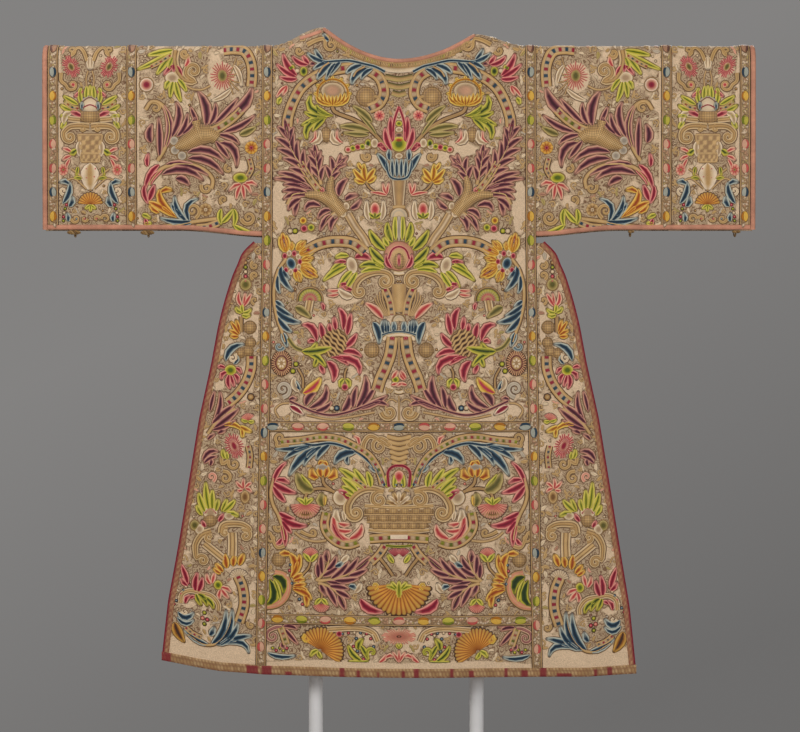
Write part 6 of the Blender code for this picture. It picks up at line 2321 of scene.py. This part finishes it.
def draw_sleeve(work):
    """The sleeve between the shoulder galloon and the cuff galloon."""
    lobes(work, "lime", [
        ((226, 52), (240, 60), (263, 69)), ((226, 50), (240, 52), (252, 55)),
        ((228, 54), (236, 64), (243, 74)), ((226, 56), (230, 62), (231, 70), 2.6),
    ], 3.0)
    jewels(work, [(229, 55), (239, 61), (249, 66)], 2.0, gap=2.6)
    lobes(work, "crimson", [
        ((226, 64), (231, 68), (236, 75)), ((225, 64), (219, 68), (217, 78)),
        ((226, 63), (226, 67), (225, 72)),
    ], 2.2)
    lobes(work, "lime", [
        ((226, 80), (229, 88), (229, 97)), ((224, 80), (223, 92), (218, 101)),
        ((222, 78), (216, 82), (213, 91)), ((229, 80), (233, 82), (234, 89)),
    ], 2.7)
    oval(work, (227, 77), 7, 5.6, "ivory", count=14)
    volute(work, (215, 53), 5, 1.2, 250, -1, half=2.0)
    volute(work, (206, 70), 8.5, 1.3, 130, -1, [(224, 50), (225, 60), (222, 70), (215, 79), (205, 81)], 4.0)
    lobe(work, (215, 66), (209, 62), (212, 54), 2.6, "pink")
    cord(work, [(214, 84), (208, 88), (198, 89), (189, 85)], 1.0)
    spiked(
        work, np.array([177.0, 75.0]), 12.5, 15.0,
        (TONES["pink"][0], TONES["crimson"][1], TONES["pink"][2]), "moss", 26,
    )
    for tip in ((158, 82), (160, 90), (166, 94), (155, 66), (163, 57)):
        cord(work, [(171, 78), ((171 + tip[0]) / 2, (80 + tip[1]) / 2), tip], 0.5)
    lobes(work, "ivory", [((166, 64), (158, 72), (158, 86)), ((168, 88), (176, 98), (188, 100))], 2.2)
    jewels(work, [(176, 50), (166, 49), (155, 51), (149, 60), (147, 72), (148, 86)], 4.8)
    oval(work, (253, 84), 6.5, 6.5, CORAL, 20, 12)
    oval(work, (253, 84), 2.4, 3, "crimson", count=8)
    # The big plum flower: two plumes to the left, one up, one across, two below, all round a gold-net pod
    band(work, [(242, 160), (234, 146), (230, 128), (233, 112), (239, 103), (248, 101), (254, 109)], 1.5, RIB)
    volute(work, (244, 107), 6, 1.2, 30, -1)
    lobes(work, "plum", [
        ((240, 158), (239, 134), (241, 116)), ((236, 150), (222, 122), (238, 103), 3.8),
        ((229, 138), (214, 114), (224, 101), 3.8), ((223, 136), (212, 128), (212, 112)),
        ((218, 134), (206, 126), (204, 115), 2.6), ((248, 142), (254, 134), (247, 123), 4.2),
    ])
    lobes(work, "plum", [
        ((194, 126), (188, 106), (202, 90), 5.0), ((190, 124), (182, 114), (184, 102)),
        ((202, 122), (206, 114), (209, 106), 2.6),
    ])
    cord(work, [(193, 124), (195, 112), (198, 102)], 0.8)
    lobes(work, "plum", [
        ((185, 123), (172, 112), (161, 97)), ((168, 112), (152, 108), (147, 86), 5.6),
        ((176, 131), (158, 128), (144, 114), 3.4), ((182, 134), (166, 134), (160, 144), 3.0),
        ((180, 142), (160, 142), (163, 167), 4.4), ((184, 140), (176, 150), (170, 158), 3.0),
    ])
    cord(work, [(164, 112), (156, 103), (150, 94)], 0.8)
    cord(work, [(180, 140), (170, 143), (165, 153)], 0.8)
    lobes(work, "plum", [
        ((212, 152), (191, 142), (174, 162), 4.2), ((212, 158), (190, 154), (176, 174), 4.2),
        ((238, 174), (214, 160), (196, 180), 4.4), ((234, 164), (214, 158), (188, 176), 3.4),
        ((224, 178), (216, 176), (210, 185), 4.0),
    ])
    band(work, [(251, 184), (244, 174), (234, 166), (214, 163), (197, 168), (187, 178), (188, 188)], 1.5, RIB)
    volute(work, (193, 187), 6, 1.2, 60, 1)
    band(
        work, [(224, 147), (212, 141), (200, 134), (188, 134), (182, 138)], 9, NET_COLUMNS,
        taper=lambda share: 0.25 + 2.6 * share * (1.15 - share), kind=NET,
    )
    band(work, [(204, 120), (202, 128), (198, 138)], 5, NET_COLUMNS, taper=narrowing, kind=NET)
    for place in ((225.5, 140), (224.5, 149.5), (217.5, 155)):
        oval(work, place, 4.0, 4.0, "grey", count=12)
    jewels(work, [(189, 131), (177, 125), (166, 117), (158, 109)], 4.0, LIME_JEWELS, 4.0)
    lobes(work, "crimson", [
        ((240, 164), (252, 170), (255, 190), 3.0), ((236, 168), (252, 178), (248, 184), 2.6),
        ((255, 184), (258, 194), (251, 203), 2.6), ((251, 200), (248, 192), (245, 184), 3.2),
        ((252, 166), (254, 160), (251, 152), 2.4),
    ])
    lobes(work, "orange", [
        ((223, 217), (246, 200), (239, 188), 3.8), ((239, 192), (234, 186), (227, 190), 2.8),
        ((226, 216), (240, 204), (252, 201), 3.4), ((240, 212), (248, 210), (250, 203), 2.4),
    ])
    lobes(work, "blue", [
        ((212, 221), (226, 212), (225, 195), 3.4), ((210, 221), (220, 202), (201, 198), 3.2),
        ((208, 220), (224, 224), (240, 217), 2.8), ((206, 221), (222, 226), (240, 227), 2.8),
        ((214, 216), (228, 210), (228, 202), 2.4),
    ])
    band(work, [(240, 226), (222, 224), (206, 221), (183, 218)], 1.5, RIB)
    volute(work, (207, 210), 8, 1.4, 200, 1)
    aster(work, (194, 209), 6.5, 6.5, "gold", "ivory", 8)
    jewels(work, [(203, 227), (192, 226), (181, 222)], 3.4)
    lobes(work, "lime", [
        ((178, 208), (182, 216), (178, 224)), ((178, 222), (172, 218), (166, 208)),
        ((166, 208), (162, 216), (166, 226)), ((166, 224), (158, 232), (146, 232), 3.0),
    ], 2.6)
    volute(work, (151, 217), 7.5, 1.5, 100, 1, half=1.8)
    lobes(work, "pink", [
        ((158, 184), (164, 182), (171, 191)), ((158, 184), (163, 190), (163, 199)),
        ((157, 184), (156, 190), (155, 199)), ((156, 184), (146, 178), (142, 186)),
        ((157, 183), (150, 184), (148, 194)),
    ], 2.3)
    oval(work, (159, 177), 7, 4.6, "lime", count=14)
    aster(work, (148, 147), 6.5, 6.5, "orange", "crimson", 9)
    lobe(work, (160, 134), (152, 132), (143, 126), 3.4, "moss")
    jewels(work, [(150, 158), (148, 168), (152, 176)], 2.4, gap=2.4)
    lobes(work, "lime", [((258, 214), (254, 214), (249, 218)), ((256, 222), (252, 224), (248, 222))], 2.4)
    lobe(work, (255, 218), (253, 222), (252, 227), 2.4, "crimson")
    volute(work, (171, 168), 4.5, 1.2, 20, 1, half=1.4)
    volute(work, (176, 199), 4.5, 1.2, 160, -1, half=1.4)


CUFF_MIDDLE = 309.5  # steps: halfway between the cuff's two galloons


def draw_cuff(work):
    """The panel at the end of the sleeve, the same on both sides of its own middle."""
    middle = CUFF_MIDDLE
    for sign in (-1, 1):

        def at(across, down):
            return middle + sign * across, down

        spiked(work, np.asarray(at(19, 66), float), 8.5, 12, "crimson", "gold", 24, 28 * sign)
        oval(work, at(19, 66), 3.0, 5.6, (TONES["moss"][0], TONES["gold"][1], IVORY), 28 * sign, 12)
        volute(work, at(19, 50), 5, 1.2, 180, sign, [at(3, 60), at(7, 51), at(13, 47)], 1.5)
        lobe(work, at(0.5, 56), at(3, 62), at(0.5, 69), 1.8, "ivory")
        cord(work, [at(2, 70), at(4, 78), at(3, 86)], 0.7)
        volute(work, at(18, 84), 6.5, 1.3, 90 * sign, sign, [at(29, 72), at(29, 80)], 1.5)
        oval(work, at(17, 84), 2.4, 2.4, "pink", count=8)
        leaves = [
            (at(8, 104), at(12, 94), at(9, 87)), (at(12, 104), at(20, 100), at(27, 95)),
            (at(18, 110), at(25, 108), at(30, 104)), (at(20, 116), at(26, 114), at(30, 116)),
            (at(24, 120), at(27, 124), at(29, 128)), (at(14, 108), at(22, 104), at(26, 100), 2.0),
        ]
        lobes(work, "lime", leaves, 2.5)
        lobe(work, at(7, 90), at(12, 94), at(16, 96), 2.2, "crimson")
        jewels(work, [at(12, 108), at(19, 106), at(25, 101)], 2.2, gap=2.6)
        lobe(work, at(8, 116), at(14, 112), at(21, 111), 2.8, "crimson")
        lobes(work, "ivory", [
            (at(18, 112), at(28, 112), at(26, 125), 3.4), (at(10, 140), at(13, 148), at(10, 156), 3.0),
        ])
        band(work, [at(10, 119), at(22, 118)], 2.6, SCROLL)
        volute(
            work, at(20.5, 136), 6.4, 1.3, 90 * sign - 20, sign,
            [at(1, 126), at(10, 125), at(20, 126), at(26, 131)], 3.4,
        )
        volute(work, at(8, 128), 3.6, 1.2, 0, -sign, half=1.5)
        lobes(work, "pink", [
            (at(18, 152), at(24, 147), at(28, 148), 2.0), (at(19, 155), at(25, 156), at(28, 160), 2.0),
            (at(20, 158), at(25, 164), at(24, 168), 1.8),
        ])
        lobe(work, at(13, 148), at(18, 154), at(21, 152), 3.0, "green")
        aster(work, at(27, 169), 5, 6, "pink", "gold", 8)
        cord(work, [at(2, 186), at(9, 176), at(19, 168)], 1.0)
        cord(work, [at(4, 188), at(16, 178), at(24, 180)], 0.8)
        lobes(work, "green", [
            (at(8, 178), at(13, 176), at(17, 178), 1.6), (at(12, 166), at(14, 170), at(13, 176), 1.6),
        ])
        lobes(work, "blue", [
            (at(28, 203), at(18, 192), at(21, 181), 3.2), (at(21, 184), at(25, 178), at(31, 182), 2.6),
            (at(22, 206), at(16, 202), at(19, 195), 3.2), (at(23, 221), at(21, 217), at(24, 212), 2.4),
        ])
        volute(work, at(27, 190), 4.0, 1.1, 180, -sign, half=1.4, tones="ivory")
        for n in range(5):
            bead(work, at(24 + 1.6 * n - 0.2 * n * n, 204 + n * 4), 1.5, ("crimson", "green", "ivory")[n % 3])
        volute(work, at(15, 218), 4.6, 1.3, 90, sign, half=1.3)
        volute(work, at(6, 218), 3.4, 1.1, 270, -sign, half=1.3)
        bead(work, at(14, 218), 1.4, "blue")
        bead(work, at(6, 218), 1.4, "crimson")
    for sign in (-1, 1):
        side = middle + sign * 4
        lobe(work, (side, 100), (side, 92), (middle + sign * 3, 85), 2.2, "lime")
    lobe(work, (middle, 98), (middle, 90), (middle, 84), 1.6, "lime")
    grey, blue = TONES["grey"][1], TONES["blue"][0]
    rings = [(0, 1.6, IVORY), (0.6, 1.4, CREAM), (0.86, 0.9, grey), (1, 0.5, blue)]
    oval(work, (middle, 104), 11, 9.5, "ivory", rings=rings)
    work.raised = 1.3
    band(work, [(middle - 7, 107), (middle, 104), (middle + 7, 107)], 0.8, narrow_columns("crimson"))
    band(work, [(middle - 7.6, 101), (middle, 96.6), (middle + 7.6, 101)], 0.7, narrow_columns("dusky"))
    for across in (-8, 8):
        bend, tip = (middle + across * 1.05, 105), (middle + across * 0.95, 101)
        lobe(work, (middle + across, 109), bend, tip, 1.5, "blue")
    work.raised = 0.0
    net(work, (middle, 115), 10.5, 7)
    lattice(work, middle - 12, middle + 12, 134, 152, 0.86, 2, 3)
    lattice(work, middle - 10, middle + 10, 153, 161, 0.9, 1, 4)
    lobe(work, (middle, 162), (middle + 1, 176), (middle, 190), 9.0, (GOLD, CREAM, IVORY))
    for across, down in ((-5, 168), (4, 168), (0, 174), (-4, 176), (4, 177)):
        bead(work, (middle + across, down), 1.2, "crimson" if across else "gold")
    stem(work, [(middle, 176), (middle, 190)], 1.6)
    fan(work, (middle, 204), 12.5, 0, 170, "orange", 11)
    calyx(work, (middle, 204), 180, 7, "lime", 3)
    for n in range(5):
        bead(work, (middle - 8 + n * 4, 226), 1.5, "crimson" if n % 2 else "ivory")


AREAS = {  # keep, area in steps: left, right, top, bottom
    "upper": (keep_body, (2, 134, 30, 421)),
    "lower": (keep_body, (2, 137, 434, 662)),
    "gores": (keep_gore, (136, 236, 250, 655)),
    "sleeves": (keep_sleeve, (134, 266, 48, 232)),
    "cuffs": (keep_cuff, (270, 344, 48, 230)),
}
DRAWINGS = {
    "upper": ((draw_upper,), (draw_upper_middle,)),
    "lower": ((draw_lower, draw_border), (draw_lower_middle, draw_border_middle)),
    "gores": ((draw_gore,), ()),
    "sleeves": ((draw_sleeve,), ()),
    "cuffs": ((draw_cuff,), ()),
}


FILL_SEED = 20


def draw_side(side):
    """The stitching of a side: every area's half is laid on both hands, and its middle once."""
    for n, (area, (doubled, single)) in enumerate(DRAWINGS.items()):
        keep, limits = AREAS[area]
        half, middle = Work(), Work()
        for draw in doubled:
            draw(half)
        for draw in single:
            draw(middle)
        mask = Work()
        mask.sheets = half.sheets + middle.sheets
        fill(mask, keep, limits, FILL_SEED + n)
        half.sheets += mask.sheets[len(half.sheets) + len(middle.sheets):]
        works = [(half, sign) for sign in HANDS.values()] + [(middle, 1.0)] * bool(single)
        lay(f"stitching_{area}_{side}", side, works, keep, SILK)


# ---------------------------------------------------------------------------
# Making the garment
# ---------------------------------------------------------------------------


def make_shells(side):
    """One cloth shell for each panel of a side."""
    shell(f"cloth_{side}_panel", side, *body_places())
    seam = SEAM_GAP / 2
    for hand, sign in HANDS.items():
        panels = {
            "sleeve": sleeve_places(SEAM_TOP_X + seam, CUFF_SEAM_X - seam, sign),
            "cuff": sleeve_places(CUFF_SEAM_X + seam, SLEEVE_END_X, sign),
            "gore": gore_places(sign),
        }
        for label, places in panels.items():
            shell(f"cloth_{label}_{side}_{hand}", side, *places)


def declare_sheets(side):
    """The names of the trims and stitching that lie on a side's body panel, gathered in a list that nothing
    uses.
    """
    on_body = [f"trim_{label}_{side}" for label in ("waist", "low", "neck", "fringe", "hem")]
    on_body += [f"trim_long_{side}_{hand}" for hand in HANDS]
    on_body += [f"stitching_{area}_{side}" for area in ("upper", "lower")]
    on_body += ["trim_shoulder"] * (side == "front")


for side in SIDES:
    make_shells(side)
    make_trims(side)
    draw_side(side)
    declare_sheets(side)
for tie in TIES:
    make_tie(*tie)


# ---------------------------------------------------------------------------
# Stand, floor, light and camera
# ---------------------------------------------------------------------------

CAMERA_DISTANCE = 5.0
VIEW_X, VIEW_Z = 0.0018, 0.957
SEEN_WIDTH = 1.432  # of the plane just in front of the garment
SEEN_FRONT = 0.04  # how far in front of the middle that plane lies
SENSOR = 36.0

coat, jersey = coat_material(), jersey_material()
for name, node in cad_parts.items():
    if name.startswith("stand_"):
        node.data.materials.clear()
        node.data.materials.append(jersey if "arm" in name else coat)


FLOOR_BACK, FLOOR_FRONT, FLOOR_SIDE = 2.2, -14.0, 14.0  # its back edge lies just below the frame


def make_floor():
    """A plain pale floor."""
    corners = [
        (-FLOOR_SIDE, FLOOR_FRONT, 0.0), (FLOOR_SIDE, FLOOR_FRONT, 0.0), (FLOOR_SIDE, FLOOR_BACK, 0.0),
        (-FLOOR_SIDE, FLOOR_BACK, 0.0),
    ]
    mesh = bpy.data.meshes.new("floor")
    mesh.from_pydata(corners, [], [(0, 1, 2, 3)])
    mesh.materials.append(floor_material())
    obj = bpy.data.objects.new("floor", mesh)
    bpy.context.scene.collection.objects.link(obj)


PALER_WAY = (-0.5, 0.0, 1.0)
SKY_SHADES = {"From Min": -0.16, "From Max": 0.06, "To Min": 0.152, "To Max": 0.228}


def make_world():
    """A grey studio all round, paler above and to the left than below and to the right."""
    world = bpy.data.worlds.new("studio")
    world.use_nodes = True
    nodes, links = world.node_tree.nodes, world.node_tree.links
    way = nodes.new("ShaderNodeTexCoord")
    slope = nodes.new("ShaderNodeVectorMath")
    slope.operation = "DOT_PRODUCT"
    slope.inputs[1].default_value = PALER_WAY
    shade = nodes.new("ShaderNodeMapRange")
    for name, value in SKY_SHADES.items():
        shade.inputs[name].default_value = value
    background = nodes["Background"]
    background.inputs["Color"].default_value = (1.0, 0.975, 0.955, 1.0)
    links.new(way.outputs["Generated"], slope.inputs[0])
    links.new(slope.outputs["Value"], shade.inputs["Value"])
    links.new(shade.outputs["Result"], background.inputs["Strength"])
    bpy.context.scene.world = world


def make_light(name, place, aim, size, power, colour=(1.0, 1.0, 1.0)):
    light = bpy.data.lights.new(name, "AREA")
    light.shape = "RECTANGLE"
    light.size, light.size_y = size
    light.energy = power
    light.color = colour
    obj = bpy.data.objects.new(name, light)
    obj.location = place
    way = Vector(aim) - Vector(place)
    obj.rotation_euler = way.to_track_quat("-Z", "Y").to_euler()
    bpy.context.scene.collection.objects.link(obj)


def make_camera():
    data = bpy.data.cameras.new("camera")
    data.sensor_width = SENSOR
    data.lens = SENSOR * (CAMERA_DISTANCE - SEEN_FRONT) / SEEN_WIDTH
    camera = bpy.data.objects.new("camera", data)
    camera.location = (VIEW_X, -CAMERA_DISTANCE, VIEW_Z)
    camera.rotation_euler = (math.pi / 2, 0.0, 0.0)
    bpy.context.scene.collection.objects.link(camera)
    bpy.context.scene.camera = camera


make_floor()
make_world()
make_light("key", (-1.7, -3.4, 2.9), (0.0, 0.0, 1.0), (1.8, 1.8), 78.0, (1.0, 0.985, 0.96))
make_light("fill", (2.2, -3.2, 1.7), (0.0, 0.0, 0.9), (2.0, 2.2), 44.0, (0.97, 0.985, 1.0))
make_light("top", (-1.1, 0.4, 3.4), (-0.3, 0.4, 1.0), (2.4, 1.4), 17.0)
make_light("back", (0.9, 3.6, 2.9), (0.0, 0.0, 0.9), (2.4, 1.8), 60.0, (1.0, 0.99, 0.97))
make_camera()
bpy.context.scene.view_settings.view_transform = "Standard"
